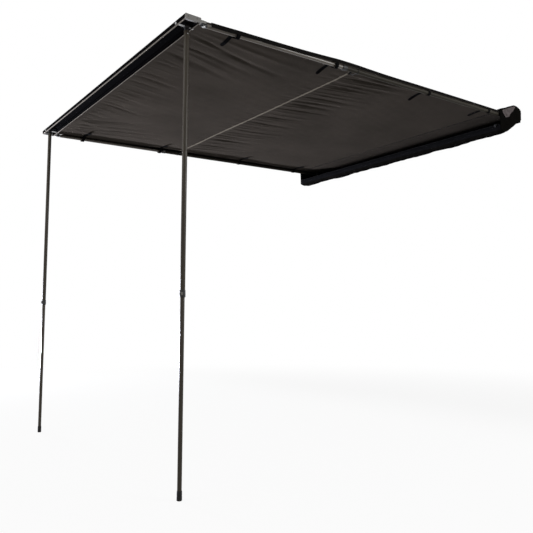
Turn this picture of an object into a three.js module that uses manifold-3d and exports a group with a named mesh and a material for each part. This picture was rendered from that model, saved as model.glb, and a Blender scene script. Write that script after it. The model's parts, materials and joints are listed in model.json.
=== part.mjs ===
// Vehicle side awning: a fabric canopy stretched between a rail that bolts to a roof rack
// and a front beam on two telescoping legs, with a telescoping rafter under each side edge.
// Millimetres. +X runs along the rail, +Y points at the vehicle, +Z is up.
// The origin is the middle of the rail's back face, where the mounting brackets bolt on.
import * as THREE from "three";
import { mergeVertices } from "three/addons/utils/BufferGeometryUtils.js";
import Module from "manifold-3d";

const wasm = await Module();
wasm.setup();

// Driving dimensions
const span = 2000;              // rail and beam, end to end
const reach = 2530;             // rail's back face to the beam's outer face
const beamDrop = 101;           // rail centre down to the beam's lips
const standHeight = 1984;       // ground up to the beam's lips
const fit = 0.3;                // running gap between neighbouring pieces
const overrun = 2;              // how far a cutter passes the face that it opens
const roundSides = 24;          // facets on a tube
const smallSides = 16;          // facets on a pin or a hole

// Rail
const rail = { height: 80, depth: 16, corner: 2.5, slotNeck: 8.5, slotNeckDepth: 2.5,
  slotHead: 14.5, slotHeadDepth: 6, slotOffset: 20 };
const groove = { radius: 3.6, mouth: 2.6, cover: 1.6 };   // round groove that takes a sewn bead
const bead = { radius: 3.1 };
const railCap = { thickness: 3, halfHeight: 29, pegLength: 12 };

// Mounting brackets and their bolts
const bracket = { x: 600, width: 50, thickness: 5, legUp: 42, legDown: 32, reach: 70, bend: 6,
  slotLength: 34, slotCentre: 42 };
const bolt = { radius: 4, hole: 4.5, headSide: 13, headThick: 5, washerRadius: 8.5, washerThick: 1.6,
  nutAcross: 13, nutThick: 6.5, tail: 3 };

// Front beam, a channel that is open below
const beam = { width: 76, height: 22.5, wall: 2.5, lip: 6, corner: 3, keyHeight: 17, keyBlock: 11.5,
  ribDepth: 0.8, ribWidth: 3, ribSpacing: 7 };
const beamCap = { thickness: 5, spigot: 14, earReach: 31, earTop: 14.5, earThick: 5, earWidth: 33,
  webDrop: 4, earRound: 8 };
const stud = { radius: 4, headRadius: 8, headThick: 3, inset: 18, offset: 22, play: 0.7 };

// Telescoping tubes, the same pair of sizes in the legs and the rafters
const outerTube = { radius: 11, bore: 9.8 };
const innerTube = { radius: 9.5, bore: 8.3 };
const plug = { length: 30, taper: 1.2, lead: 2 };      // the moulded end that fills a tube

// Legs
const leg = { inset: 80, spread: 24.5, pivotAboveLip: 8.3, tubeTop: 20, collarHeight: 837, overlap: 150 };
const knuckle = { eyeRadius: 10.2, eyeWidth: 20, shoulderRadius: 10.9, shoulder: 4, cone: 5, neckWidth: 17,
  neckRound: 4 };
const pivotBolt = { radius: 3, hole: 3.4, headRadius: 5.5, headThick: 3.5, nutAcross: 10, nutThick: 5 };
const spacerRadius = 5;
const collar = { radius: 12.8, length: 30, chamfer: 2, ringWidth: 2.4, ringDepth: 0.5, ringCount: 2,
  ringPitch: 5, lap: 18, ringSlope: 0.6 };
const button = { travel: 1.8, width: 9, length: 14, bossReach: 16.6, bossWidth: 14, bossLength: 21,
  bossRoot: 12, pocketFloor: 12.4, proud: 1.6, crown: 0.6, offset: 4.5 };
const legButtonTurn = 35;       // degrees that a leg's button faces round towards the front
const foot = { height: 40, floor: 6, topRadius: 10.7, bodyRadius: 11.2, treadRadius: 11.8,
  edge: 3, ribDepth: 0.5, ribWidth: 3, rim: 1, rimRound: 0.6 };

// Rafters
const rafter = { inset: 18, pivotBelow: 22, pivotNear: 40, pivotFar: 67, outerEnd: 1565, overlap: 170 };
const eye = { radius: 11, height: 18, bore: 4.6, neckWidth: 15, neckStep: 1, tubeStart: 24, flange: 6,
  flangeTaper: 1 };
const clevis = { plate: 3, width: 26, backWidth: 30, nose: 12, play: 0.4, screwRadius: 4,
  screwThick: 2, screwSpread: 9 };
const pin = { radius: 4, hole: 4.3, headRadius: 7, headThick: 2 };
const hook = { width: 18, length: 24, height: 10, slot: 4.4, round: 1.5, back: 10, flange: 3,
  flangeTaper: 1.5 };

// Canopy
const canopy = { sideInset: 10, thickness: 1.2, rise: 17, billow: 7, foldHeight: 4.5, foldPitch: 290,
  foldFade: 420, foldRise: 105, foldDrift: 97 };
const hem = { skin: 1.2, fold: 12, gap: 0.7, railDrop: 10, beamDrop: 20, fromRail: 76, fromBeam: 52 };
const canopyStations = 29;
const canopyRows = 13;
const hemRows = 7;
const beadSteps = 6;
const strap = { length: 128, width: 20, thick: 1.2, inset: 24, tip: 4, slack: 0.4, droop: 6 };
const strapSteps = 6;
const strapShares = [0.079, 0.3245, 0.623, 0.864];      // places along the canopy, from the beam

// Travel bag, open and hanging at the rail
const bag = { thickness: 2, endThick: 2, rearRise: 52, crest: 60, crestOut: 56, lipOut: 238,
  topLip: 7, midOut: 150, midRise: 33, floorOut: 190, floorDrop: 146, bellyOut: 115,
  bellyDrop: 117, heelOut: 22, heelDrop: 58, frontDrop: 122, lipDrop: 97, bowOut: 228,
  bowDrop: 140, stepOut: 12, endMargin: 4 };
const flapSteps = 24;
const zip = { teethRadius: 1.8, tape: 1.2, tapeHeight: 9, sliderLength: 16, sliderWidth: 9,
  sliderHeight: 10, slack: 0.5, startInset: 26, tabLength: 16, tabWidth: 8 };

// Places that follow from the sizes above
const half = span / 2;
const slopeRun = reach - beam.width - stud.offset;
const lipZ = -beamDrop;
const hookZ = lipZ + beamCap.earTop - beamCap.earThick - stud.play - hook.height / 2;
const beamY = -reach + beam.width / 2;
const studY = -reach + beam.width + stud.offset;
const rafterX = half - rafter.inset;
const canopyHalf = half - canopy.sideInset;
const pivotZ = -rafter.pivotBelow;
const slope = Math.atan2(pivotZ - hookZ, slopeRun - rafter.pivotNear);
const groundZ = lipZ - standHeight;
const legPivotZ = lipZ + leg.pivotAboveLip;
const legX = half - leg.inset;
const railGrooveZ = pivotZ + canopy.rise;
const beamGrooveZ = lipZ + beam.keyHeight;
const bagGrooveZ = rail.height / 2 - groove.radius - groove.cover;
const bagGrooveY = -groove.radius - groove.cover;
const clothStart = -rail.depth - groove.mouth;
const clothEnd = -reach + beam.width + groove.mouth;

const part = new THREE.Group();

// Materials: the part's own colours
function coat(color, roughness, metalness) {
  return () => new THREE.MeshStandardMaterial({ color, roughness, metalness });
}
const blackAluminium = coat(0x26262a, 0.45, 0.8);
const greyAluminium = coat(0x5a5650, 0.4, 0.85);
const tubeAluminium = coat(0x3b3936, 0.4, 0.8);
const brightSteel = coat(0xb9babb, 0.3, 1);
const blackSteel = coat(0x1d1d1f, 0.5, 0.7);
const blackNylon = coat(0x18181a, 0.6, 0);
const greyNylon = coat(0x6b6864, 0.6, 0);
const blackRubber = coat(0x141414, 0.85, 0);
const canopyCloth = coat(0x34332f, 0.9, 0);
const strapWeb = coat(0x101011, 0.9, 0);
const bagVinyl = coat(0x121214, 0.55, 0);

// Turns a geometry into one closed shell with shared corners and its faces pointing out.
function shell(geometry) {
  const bare = geometry.clone();
  for (const name of Object.keys(bare.attributes)) {
    if (name !== "position") bare.deleteAttribute(name);
  }
  const merged = mergeVertices(bare, 1e-4);
  if (volumeOf(merged) < 0) flip(merged);
  return merged;
}

function volumeOf(geometry) {
  const p = geometry.attributes.position;
  const index = geometry.index.array;
  const [a, b, c] = [new THREE.Vector3(), new THREE.Vector3(), new THREE.Vector3()];
  let sum = 0;
  for (let i = 0; i < index.length; i += 3) {
    a.fromBufferAttribute(p, index[i]);
    b.fromBufferAttribute(p, index[i + 1]);
    c.fromBufferAttribute(p, index[i + 2]);
    sum += a.dot(b.cross(c)) / 6;
  }
  return sum;
}

function flip(geometry) {
  const index = geometry.index.array;
  for (let i = 0; i < index.length; i += 3) [index[i], index[i + 1]] = [index[i + 1], index[i]];
}

function solid(geometry) {
  const merged = shell(geometry);
  const mesh = new wasm.Mesh({ numProp: 3,
    vertProperties: new Float32Array(merged.attributes.position.array),
    triVerts: new Uint32Array(merged.index.array) });
  return new wasm.Manifold(mesh);
}

function fromSolid(manifold) {
  const mesh = manifold.getMesh();
  const geometry = new THREE.BufferGeometry();
  geometry.setAttribute("position", new THREE.BufferAttribute(mesh.vertProperties.slice(), 3));
  geometry.setIndex(new THREE.BufferAttribute(mesh.triVerts.slice(), 1));
  return geometry;
}

function cut(base, ...tools) {
  return fromSolid(tools.reduce((rest, tool) => rest.subtract(solid(tool)), solid(base)));
}

function join(base, ...others) {
  return fromSolid(others.reduce((sum, other) => sum.add(solid(other)), solid(base)));
}

// Outlines are drawn in a plane and pushed along one axis.
const toX = new THREE.Matrix4().makeBasis(
  new THREE.Vector3(0, 1, 0), new THREE.Vector3(0, 0, 1), new THREE.Vector3(1, 0, 0));
const toY = new THREE.Matrix4().makeBasis(
  new THREE.Vector3(0, 0, 1), new THREE.Vector3(1, 0, 0), new THREE.Vector3(0, 1, 0));

// A loft along X is laid along Y, with its own Y across.
const alongToY = new THREE.Matrix4().makeBasis(
  new THREE.Vector3(0, 1, 0), new THREE.Vector3(1, 0, 0), new THREE.Vector3(0, 0, 1));

function extrude(shape, depth, curveSegments = 6) {
  return new THREE.ExtrudeGeometry(shape, { depth, bevelEnabled: false, curveSegments });
}

// A (y, z) outline from x0 to x1
function alongX(shape, x0, x1, curveSegments) {
  return extrude(shape, x1 - x0, curveSegments).applyMatrix4(toX).translate(x0, 0, 0);
}

// A (z, x) outline from y0 to y1
function alongY(shape, y0, y1, curveSegments) {
  return extrude(shape, y1 - y0, curveSegments).applyMatrix4(toY).translate(0, y0, 0);
}

// An (x, y) outline from z0 to z1
function alongZ(shape, z0, z1, curveSegments) {
  return extrude(shape, z1 - z0, curveSegments).translate(0, 0, z0);
}

function rectangle(u0, v0, u1, v1, radius = 0) {
  const shape = new THREE.Shape();
  if (radius === 0) {
    shape.moveTo(u0, v0).lineTo(u1, v0).lineTo(u1, v1).lineTo(u0, v1).closePath();
    return shape;
  }
  shape.moveTo(u0 + radius, v0).lineTo(u1 - radius, v0);
  shape.quadraticCurveTo(u1, v0, u1, v0 + radius).lineTo(u1, v1 - radius);
  shape.quadraticCurveTo(u1, v1, u1 - radius, v1).lineTo(u0 + radius, v1);
  shape.quadraticCurveTo(u0, v1, u0, v1 - radius).lineTo(u0, v0 + radius);
  shape.quadraticCurveTo(u0, v0, u0 + radius, v0);
  return shape;
}

function polygon(points) {
  return new THREE.Shape(points.map(([u, v]) => new THREE.Vector2(u, v)));
}

function disc(u, v, radius, sides = smallSides) {
  const turn = 2 * Math.PI / sides;
  return polygon(Array.from({ length: sides }, (_, i) =>
    [u + radius * Math.cos((i + 0.5) * turn), v + radius * Math.sin((i + 0.5) * turn)]));
}

function hexagon(u, v, across) {
  return disc(u, v, across / Math.sqrt(3), 6);
}

// A revolved piece about the Z axis; the profile is (radius, z) and closes on itself or the axis.
function turned(profile, sides = roundSides) {
  const points = profile.map(([r, z]) => new THREE.Vector2(r, z));
  return new THREE.LatheGeometry(points, sides).rotateX(Math.PI / 2);
}

function tube(outer, bore, z0, z1) {
  return turned([[bore, z0], [outer, z0], [outer, z1], [bore, z1], [bore, z0]]);
}

// The part of a profile that fills a tube, from the axis at the far end to the tube's mouth
function plugProfile(mouth, way, boreRadius) {
  const end = mouth + way * plug.length;
  const r = boreRadius - fit;
  return [[0, end], [r - plug.taper, end], [r, end - way * plug.lead], [r, mouth]];
}

// Names a piece, gives it a finish and puts it in a group.
function add(group, name, geometry, finish) {
  const clean = shell(geometry);
  clean.computeVertexNormals();
  const mesh = new THREE.Mesh(clean, finish());
  mesh.name = name;
  group.add(mesh);
  return mesh;
}

// The two ends of the awning: side is +1 on the right and -1 on the left.
const ends = [{ side: 1, word: "right" }, { side: -1, word: "left" }];

function mirrored(geometry, side) {
  return side > 0 ? geometry : geometry.clone().scale(-1, 1, 1);
}

// Keder groove cutter in a (y, z) section: a round bore with a mouth that opens towards (dy, dz).
function grooveCutters(y, z, dy, dz, x0, x1) {
  const gap = groove.mouth / 2;
  const run = groove.radius + groove.cover + overrun;
  const mouth = dz === 0
    ? rectangle(Math.min(y, y + dy * run), z - gap, Math.max(y, y + dy * run), z + gap)
    : rectangle(y - gap, Math.min(z, z + dz * run), y + gap, Math.max(z, z + dz * run));
  return [alongX(disc(y, z, groove.radius), x0, x1), alongX(mouth, x0, x1)];
}

function buildRail() {
  const x = half - railCap.thickness;
  const [x0, x1] = [-x - overrun, x + overrun];
  const body = alongX(rectangle(-rail.depth, -rail.height / 2, 0, rail.height / 2, rail.corner), -x, x, 3);
  const cutters = [];
  for (const z of [rail.slotOffset, -rail.slotOffset]) {
    const gap = rail.slotNeck / 2;
    const neck = rectangle(-rail.slotNeckDepth - overrun, z - gap, overrun, z + gap);
    const head = rectangle(-rail.slotNeckDepth - rail.slotHeadDepth, z - rail.slotHead / 2,
      -rail.slotNeckDepth, z + rail.slotHead / 2);
    cutters.push(alongX(neck, x0, x1), alongX(head, x0, x1));
  }
  const frontGrooveY = -rail.depth + groove.radius + groove.cover;
  cutters.push(...grooveCutters(frontGrooveY, railGrooveZ, -1, 0, x0, x1));
  cutters.push(...grooveCutters(bagGrooveY, bagGrooveZ, 0, 1, x0, x1));
  cutters.push(...grooveCutters(bagGrooveY, -bagGrooveZ, 0, -1, x0, x1));
  add(part, "rail", cut(body, ...cutters), blackAluminium);
}

function buildRailCap({ side, word }) {
  const inner = half - railCap.thickness;
  const h = railCap.halfHeight;
  const plate = alongX(rectangle(-rail.depth, -h, 0, h, rail.corner), inner + fit, half, 3);
  const pegs = [1, -1].map((up) => {
    const z = up * rail.slotOffset;
    const reachIn = rail.slotHead / 2 - fit;
    const y0 = -rail.slotNeckDepth - rail.slotHeadDepth + fit;
    return alongX(rectangle(y0, z - reachIn, -rail.slotNeckDepth - fit, z + reachIn),
      inner - railCap.pegLength, inner + railCap.thickness / 2);
  });
  add(part, `rail_cap_${word}`, mirrored(join(plate, ...pegs), side), blackNylon);
}

function buildBracket({ side, word }) {
  const t = bracket.thickness;
  const back = fit;
  const top = bracket.legUp;
  const shape = new THREE.Shape();
  shape.moveTo(back, -bracket.legDown).lineTo(back + t, -bracket.legDown);
  shape.lineTo(back + t, top - t - bracket.bend);
  shape.quadraticCurveTo(back + t, top - t, back + t + bracket.bend, top - t);
  shape.lineTo(bracket.reach, top - t).lineTo(bracket.reach, top).lineTo(back + t + bracket.bend, top);
  shape.quadraticCurveTo(back, top, back, top - t - bracket.bend).closePath();
  const w = bracket.width / 2;
  const body = alongX(shape, bracket.x - w, bracket.x + w, 6);
  const holes = [1, -1].map((up) =>
    alongY(disc(up * rail.slotOffset, bracket.x, bolt.hole), -overrun, back + t + overrun));
  const r = bolt.hole;
  const run = bracket.slotLength / 2 - r;
  const slots = [1, -1].map((s) => {
    const x = bracket.x + s * w / 2;
    const y = bracket.slotCentre;
    const rounds = [y - run, y + run].map((v) => alongZ(disc(x, v, r), top - t - overrun, top + overrun));
    return [...rounds, alongZ(rectangle(x - r, y - run, x + r, y + run), top - t - overrun, top + overrun)];
  }).flat();
  add(part, `mount_bracket_${word}`, mirrored(cut(body, ...holes, ...slots), side), blackSteel);
  for (const [up, level] of [[1, "upper"], [-1, "lower"]]) {
    add(part, `bracket_bolt_${word}_${level}`, mirrored(railBolt(up * rail.slotOffset), side), brightSteel);
  }
}

// A bolt whose square head slides in the rail's slot, with its washer and nut run up tight
function railBolt(z) {
  const x = bracket.x;
  const hs = bolt.headSide / 2;
  const y0 = -rail.slotNeckDepth - fit;
  const face = fit + bracket.thickness + fit;
  const head = alongY(rectangle(z - hs, x - hs, z + hs, x + hs, hs / 4), y0 - bolt.headThick, y0, 2);
  const nutEnd = face + bolt.washerThick + bolt.nutThick;
  const shank = alongY(disc(z, x, bolt.radius), y0 - bolt.headThick / 2, nutEnd + bolt.tail);
  const washer = alongY(disc(z, x, bolt.washerRadius), face, face + bolt.washerThick);
  const nut = alongY(hexagon(z, x, bolt.nutAcross), face + bolt.washerThick / 2, nutEnd);
  return join(head, shank, washer, nut);
}

function buildBeam() {
  const x = half - beamCap.thickness - fit;
  const [x0, x1] = [-x - overrun, x + overrun];
  const { width, height, wall, lip } = beam;
  const outside = alongX(rectangle(0, 0, width, height, beam.corner), -x, x, 4);
  const roof = height - wall;
  const hollow = new THREE.Shape();
  const keyZ = beam.keyHeight - beam.keyBlock / 2;
  hollow.moveTo(lip, -overrun).lineTo(width - lip, -overrun).lineTo(width - lip, wall);
  hollow.lineTo(width - wall, wall).lineTo(width - wall, keyZ).lineTo(width - beam.keyBlock, keyZ);
  hollow.lineTo(width - beam.keyBlock, roof).lineTo(wall, roof).lineTo(wall, wall);
  hollow.lineTo(lip, wall).closePath();
  const cutters = [alongX(hollow, x0, x1)];
  cutters.push(...grooveCutters(width - groove.radius - groove.cover, beam.keyHeight, 1, 0, x0, x1));
  for (const step of [0, 1]) {
    const z = height / 2 + (step - 0.5) * beam.ribSpacing;
    const rib = rectangle(-overrun, z - beam.ribWidth / 2, beam.ribDepth, z + beam.ribWidth / 2);
    cutters.push(alongX(rib, x0, x1));
  }
  for (const { side } of ends) {
    const hole = disc(leg.pivotAboveLip, side * legX, pivotBolt.hole);
    cutters.push(alongY(hole, -overrun, width + overrun));
  }
  const body = cut(outside, ...cutters).translate(0, -reach, lipZ);
  add(part, "front_beam", body, blackAluminium);
}

function buildBeamCap({ side, word }) {
  const { width, height, wall } = beam;
  const inner = half - beamCap.thickness;
  const plate = alongX(rectangle(0, 0, width, height, beam.corner), inner, half, 4);
  const [low, high] = [wall + fit, height - wall - fit];
  const spigot = alongX(rectangle(low, low, width - beam.keyBlock - fit, high),
    inner - beamCap.spigot, inner + beamCap.thickness / 2);
  const earEnd = width + beamCap.earReach;
  const web = alongX(rectangle(width - beam.corner, beamCap.webDrop, earEnd - beamCap.earRound,
    beamCap.earTop), inner, half);
  const earBottom = beamCap.earTop - beamCap.earThick;
  const r = beamCap.earRound;
  const x0 = half - beamCap.earWidth;
  const earShape = new THREE.Shape();
  earShape.moveTo(half, width + fit).lineTo(half, earEnd - r);
  earShape.quadraticCurveTo(half, earEnd, half - r, earEnd).lineTo(x0 + r, earEnd);
  earShape.quadraticCurveTo(x0, earEnd, x0, earEnd - r).lineTo(x0, width + fit).closePath();
  const ear = alongZ(earShape, earBottom, beamCap.earTop, 5);
  const hole = alongZ(disc(rafterX, width + stud.offset, pin.hole), earBottom - overrun,
    beamCap.earTop + overrun);
  const body = cut(join(plate, spigot, web, ear), hole).translate(0, -reach, lipZ);
  add(part, `beam_cap_${word}`, mirrored(body, side), greyNylon);

  const headTop = earBottom - stud.play - hook.height - stud.play;
  const profile = [[0, headTop - stud.headThick], [stud.headRadius, headTop - stud.headThick],
    [stud.headRadius, headTop], [stud.radius, headTop], [stud.radius, beamCap.earTop], [0, beamCap.earTop]];
  const post = turned(profile, smallSides).translate(rafterX, studY, lipZ);
  add(part, `hook_stud_${word}`, mirrored(post, side), brightSteel);
}

// Each leg swings about its own bolt. The right leg folds away in the channel's inner half,
// the left leg in its outer half, so the two lie side by side.
function buildLeg({ side, word }) {
  const y = beamY + side * leg.spread / 2;
  const group = new THREE.Group();
  group.position.set(side * legX, y, legPivotZ);
  part.add(group);
  buildLegPivot(group, side, word, y);

  const w = knuckle.eyeWidth / 2;
  const eyeBody = alongY(disc(0, 0, knuckle.eyeRadius, roundSides), -w, w);
  const n = knuckle.neckWidth / 2;
  const seat = -leg.tubeTop + fit;
  const neck = alongZ(rectangle(-n, -n, n, n, knuckle.neckRound), seat, 0, 4);
  const filler = plugProfile(-leg.tubeTop, -1, outerTube.bore);
  const shoulder = turned([...filler, [knuckle.shoulderRadius, seat],
    [knuckle.shoulderRadius, seat + knuckle.shoulder], [n, seat + knuckle.shoulder + knuckle.cone],
    [0, seat + knuckle.shoulder + knuckle.cone]]);
  const bore = alongY(disc(0, 0, pivotBolt.hole), -w - overrun, w + overrun);
  add(group, `leg_knuckle_${word}`, cut(join(eyeBody, neck, shoulder), bore), blackNylon);

  const collarZ = groundZ + leg.collarHeight - legPivotZ;
  const lap = collarZ + collar.length / 2 - collar.lap;
  const upper = tube(outerTube.radius, outerTube.bore, lap, -leg.tubeTop);
  add(group, `leg_upper_tube_${word}`, upper, tubeAluminium);
  buildCollar(group, { collar: `leg_collar_${word}`, button: `leg_button_${word}` },
    collarZ - collar.length / 2, side, THREE.MathUtils.degToRad(legButtonTurn));

  const footZ = groundZ - legPivotZ;
  const lowerEnd = footZ + foot.floor + fit;
  const lowerTop = lap + leg.overlap;
  const lower = tube(innerTube.radius, innerTube.bore, lowerEnd, lowerTop);
  add(group, `leg_lower_tube_${word}`, lower, tubeAluminium);
  add(group, `leg_foot_${word}`, footShape().translate(0, 0, footZ), blackRubber);
}

function buildLegPivot(group, side, word, y) {
  const outerFace = -reach - y;
  const innerFace = -reach + beam.width - y;
  const headFace = outerFace - fit;
  const head = alongY(disc(0, 0, pivotBolt.headRadius), headFace - pivotBolt.headThick, headFace);
  const nutEnd = innerFace + fit + pivotBolt.nutThick;
  const shank = alongY(disc(0, 0, pivotBolt.radius), headFace - pivotBolt.headThick / 2, nutEnd + fit);
  const nut = alongY(hexagon(0, 0, pivotBolt.nutAcross), innerFace + fit, nutEnd);
  add(group, `leg_pivot_bolt_${word}`, join(head, shank, nut), brightSteel);

  const w = knuckle.eyeWidth / 2;
  const y0 = side < 0 ? w + fit : outerFace + beam.wall + fit;
  const y1 = side < 0 ? innerFace - beam.keyBlock - fit : -w - fit;
  const sleeve = cut(alongY(disc(0, 0, spacerRadius), y0, y1),
    alongY(disc(0, 0, pivotBolt.hole), y0 - overrun, y1 + overrun));
  add(group, `leg_spacer_${word}`, sleeve, brightSteel);
}

// A moulded collar on a tube's open end: one step grips the outer tube, the other guides the
// inner one. It starts at z0 and grows along +Z; its gripping step is at the +Z end.
function collarShape(z0) {
  const { radius, length, chamfer, ringWidth, ringDepth, ringCount, ringPitch, lap, ringSlope } = collar;
  const guide = innerTube.radius + fit;
  const grip = outerTube.radius + fit;
  const profile = [[guide, z0], [radius - chamfer / 2, z0], [radius, z0 + chamfer]];
  for (let i = 0; i < ringCount; i++) {
    const z = z0 + length - chamfer - (ringCount - i) * ringPitch;
    profile.push([radius, z], [radius - ringDepth, z + ringSlope]);
    profile.push([radius - ringDepth, z + ringWidth - ringSlope], [radius, z + ringWidth]);
  }
  const z1 = z0 + length;
  profile.push([radius, z1 - chamfer], [radius - chamfer / 2, z1], [grip, z1]);
  profile.push([grip, z1 - lap - fit], [guide, z1 - lap - fit], [guide, z0]);
  return turned(profile);
}

// An upright oval in the (y, z) plane
function oval(mid, width, length) {
  return rectangle(-width / 2, mid - length / 2, width / 2, mid + length / 2, width / 2 - fit);
}

// Collar and release button. The boss that holds the button faces +X where side is +1 and -X where it
// is -1, turned towards the front by turn, and the button sinks into the boss's pocket.
function buildCollar(group, names, z0, side, turn = 0) {
  const mid = z0 + button.bossLength / 2 + button.offset;
  const { bossReach, bossRoot, pocketFloor } = button;
  const core = alongZ(disc(0, 0, bossRoot, roundSides), z0, z0 + collar.length);
  const boss = cut(alongX(oval(mid, button.bossWidth, button.bossLength), 0, bossReach, 4)
    .rotateZ(-turn), core);
  const pocket = alongX(oval(mid, button.width + 2 * fit, button.length + 2 * fit), pocketFloor,
    bossReach + overrun, 4).rotateZ(-turn);
  add(group, names.collar, mirrored(cut(join(collarShape(z0), boss), pocket), side), blackNylon);

  const inner = pocketFloor + fit + button.travel;
  const outer = bossReach + button.proud;
  const cap = join(alongX(oval(mid, button.width, button.length), inner, outer - button.crown, 4),
    alongX(oval(mid, button.width - 2 * button.crown, button.length - 2 * button.crown), inner, outer, 4));
  add(group, names.button, mirrored(cap.rotateZ(-turn), side), greyNylon);
}

function footShape() {
  const { height, floor, topRadius, bodyRadius, treadRadius, edge, ribDepth, ribWidth } = foot;
  const bore = innerTube.radius + fit;
  const mid = height / 2;
  return turned([[0, 0], [treadRadius - edge, 0], [treadRadius, edge], [bodyRadius, edge * 2],
    [bodyRadius, mid - ribWidth], [bodyRadius - ribDepth, mid - ribWidth / 2],
    [bodyRadius - ribDepth, mid + ribWidth / 2], [bodyRadius, mid + ribWidth],
    [topRadius, height - foot.rim], [topRadius - foot.rimRound, height], [bore, height], [bore, floor],
    [0, floor]]);
}

// The rafters pivot at the rail and hook on the beam. The left pivot stands further out, so the
// folded rafters lie one in front of the other.
function buildRafter({ side, word }) {
  const pivotY = -(side > 0 ? rafter.pivotNear : rafter.pivotFar);
  const pivotHeight = pivotZ + Math.tan(slope) * (pivotY + rafter.pivotNear);
  const group = new THREE.Group();
  group.position.set(side * rafterX, pivotY, pivotHeight);
  part.add(group);
  buildClevis(group, side, word, pivotY);

  const h = eye.height / 2;
  const lean = new THREE.Matrix4().makeRotationX(slope);
  const eyeBody = alongZ(disc(0, 0, eye.radius, roundSides), -h, h);
  const n = eye.neckWidth / 2;
  const neck = alongZ(rectangle(-n, -eye.tubeStart + 2 * fit, n, 0), -h + eye.neckStep, h - eye.neckStep);
  const seat = eye.tubeStart - fit;
  const flange = eye.radius - fit;
  const filler = turned([...plugProfile(eye.tubeStart, 1, outerTube.bore), [outerTube.bore - fit, seat],
    [flange, seat], [flange - eye.flangeTaper, seat - eye.flange], [0, seat - eye.flange]])
    .rotateX(Math.PI / 2).applyMatrix4(lean);
  const bore = alongZ(disc(0, 0, eye.bore), -h - overrun, h + overrun);
  add(group, `rafter_knuckle_${word}`, cut(join(eyeBody, neck, filler), bore), blackNylon);

  // Everything further out lies on the sloping axis: local +Z runs down the rafter.
  const arm = new THREE.Group();
  arm.rotation.x = Math.PI / 2 + slope;
  group.add(arm);
  const end = rafter.outerEnd;
  const outer = tube(outerTube.radius, outerTube.bore, eye.tubeStart, end);
  add(arm, `rafter_outer_tube_${word}`, outer, greyAluminium);
  const ring = new THREE.Group();
  ring.rotation.x = Math.PI;
  arm.add(ring);
  buildCollar(ring, { collar: `rafter_collar_${word}`, button: `rafter_button_${word}` },
    collar.lap - end - collar.length, -side);

  const hookAt = Math.hypot(studY - pivotY, pivotHeight - hookZ);
  const tubeEnd = hookAt - hook.length + hook.back;
  const inner = tube(innerTube.radius, innerTube.bore, end - rafter.overlap, tubeEnd);
  add(arm, `rafter_inner_tube_${word}`, inner, greyAluminium);
  buildHook(arm, side, word, hookAt, tubeEnd);
}

function buildClevis(group, side, word, pivotY) {
  const wall = -rail.depth - fit - pivotY;
  const inside = eye.height / 2 + clevis.play;
  const outside = inside + clevis.plate;
  const b = clevis.backWidth / 2;
  const back = alongY(rectangle(-outside, -b, outside, b), wall - clevis.plate, wall);
  const w = clevis.width / 2;
  const plateShape = new THREE.Shape();
  plateShape.moveTo(-w, wall - clevis.plate / 2).lineTo(-w, 0);
  plateShape.quadraticCurveTo(-w, -clevis.nose, 0, -clevis.nose).quadraticCurveTo(w, -clevis.nose, w, 0);
  plateShape.lineTo(w, wall - clevis.plate / 2).closePath();
  const plates = [alongZ(plateShape, inside, outside, 6), alongZ(plateShape, -outside, -inside, 6)];
  const hole = alongZ(disc(0, 0, pin.hole), -outside - overrun, outside + overrun);
  const screws = [1, -1].map((s) => alongY(disc(0, s * clevis.screwSpread, clevis.screwRadius),
    wall - clevis.plate - clevis.screwThick, wall - clevis.plate / 2));
  add(group, `rafter_bracket_${word}`, cut(join(back, ...plates, ...screws), hole), blackSteel);

  const top = outside + fit;
  const profile = [[0, -top - pin.headThick], [pin.headRadius, -top - pin.headThick], [pin.headRadius, -top],
    [pin.radius, -top], [pin.radius, top], [pin.headRadius, top], [pin.headRadius, top + pin.headThick],
    [0, top + pin.headThick]];
  add(group, `rafter_pin_${word}`, turned(profile, smallSides), brightSteel);
}

// The hook's slot opens sideways, away from the awning's middle, so the rafter swings off its stud.
function buildHook(arm, side, word, hookAt, tubeEnd) {
  const w = hook.width / 2;
  const blockStart = tubeEnd + fit;
  const blockEnd = hookAt + hook.back;
  const h = hook.height / 2;
  const block = alongZ(rectangle(-w, -h, w, h, hook.round), blockStart, blockEnd, 3);
  const filler = turned([...plugProfile(tubeEnd, -1, innerTube.bore), [innerTube.bore - fit, blockStart],
    [innerTube.radius, blockStart], [innerTube.radius - hook.flangeTaper, blockStart + hook.flange],
    [0, blockStart + hook.flange]]);
  const r = hook.slot;
  const round = alongY(disc(hookAt, 0, r), -h - overrun, h + overrun);
  const way = alongY(rectangle(hookAt - r, 0, hookAt + r, w + overrun), -h - overrun, h + overrun);
  add(arm, `rafter_hook_${word}`, mirrored(cut(join(block, filler), round, way), side), blackNylon);
}

// Height of the canopy's middle surface. share runs from 0 at the rail to 1 at the beam.
function clothHeight(x, share) {
  const across = Math.abs(x) / canopyHalf;
  const edge = Math.pow(across, 6) * canopy.billow * Math.sin(Math.PI * share);
  const fromBeam = (1 - share) * (reach - beam.width);
  const inner = 1 - Math.pow(across, 8);
  const wave = 0.5 - 0.5 * Math.cos(2 * Math.PI * (x + share * canopy.foldDrift) / canopy.foldPitch);
  const fade = Math.exp(-fromBeam / canopy.foldFade) * Math.min(1, fromBeam / canopy.foldRise);
  const straight = railGrooveZ + (beamGrooveZ - railGrooveZ) * share;
  return straight + edge + inner * wave * canopy.foldHeight * fade;
}

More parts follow.
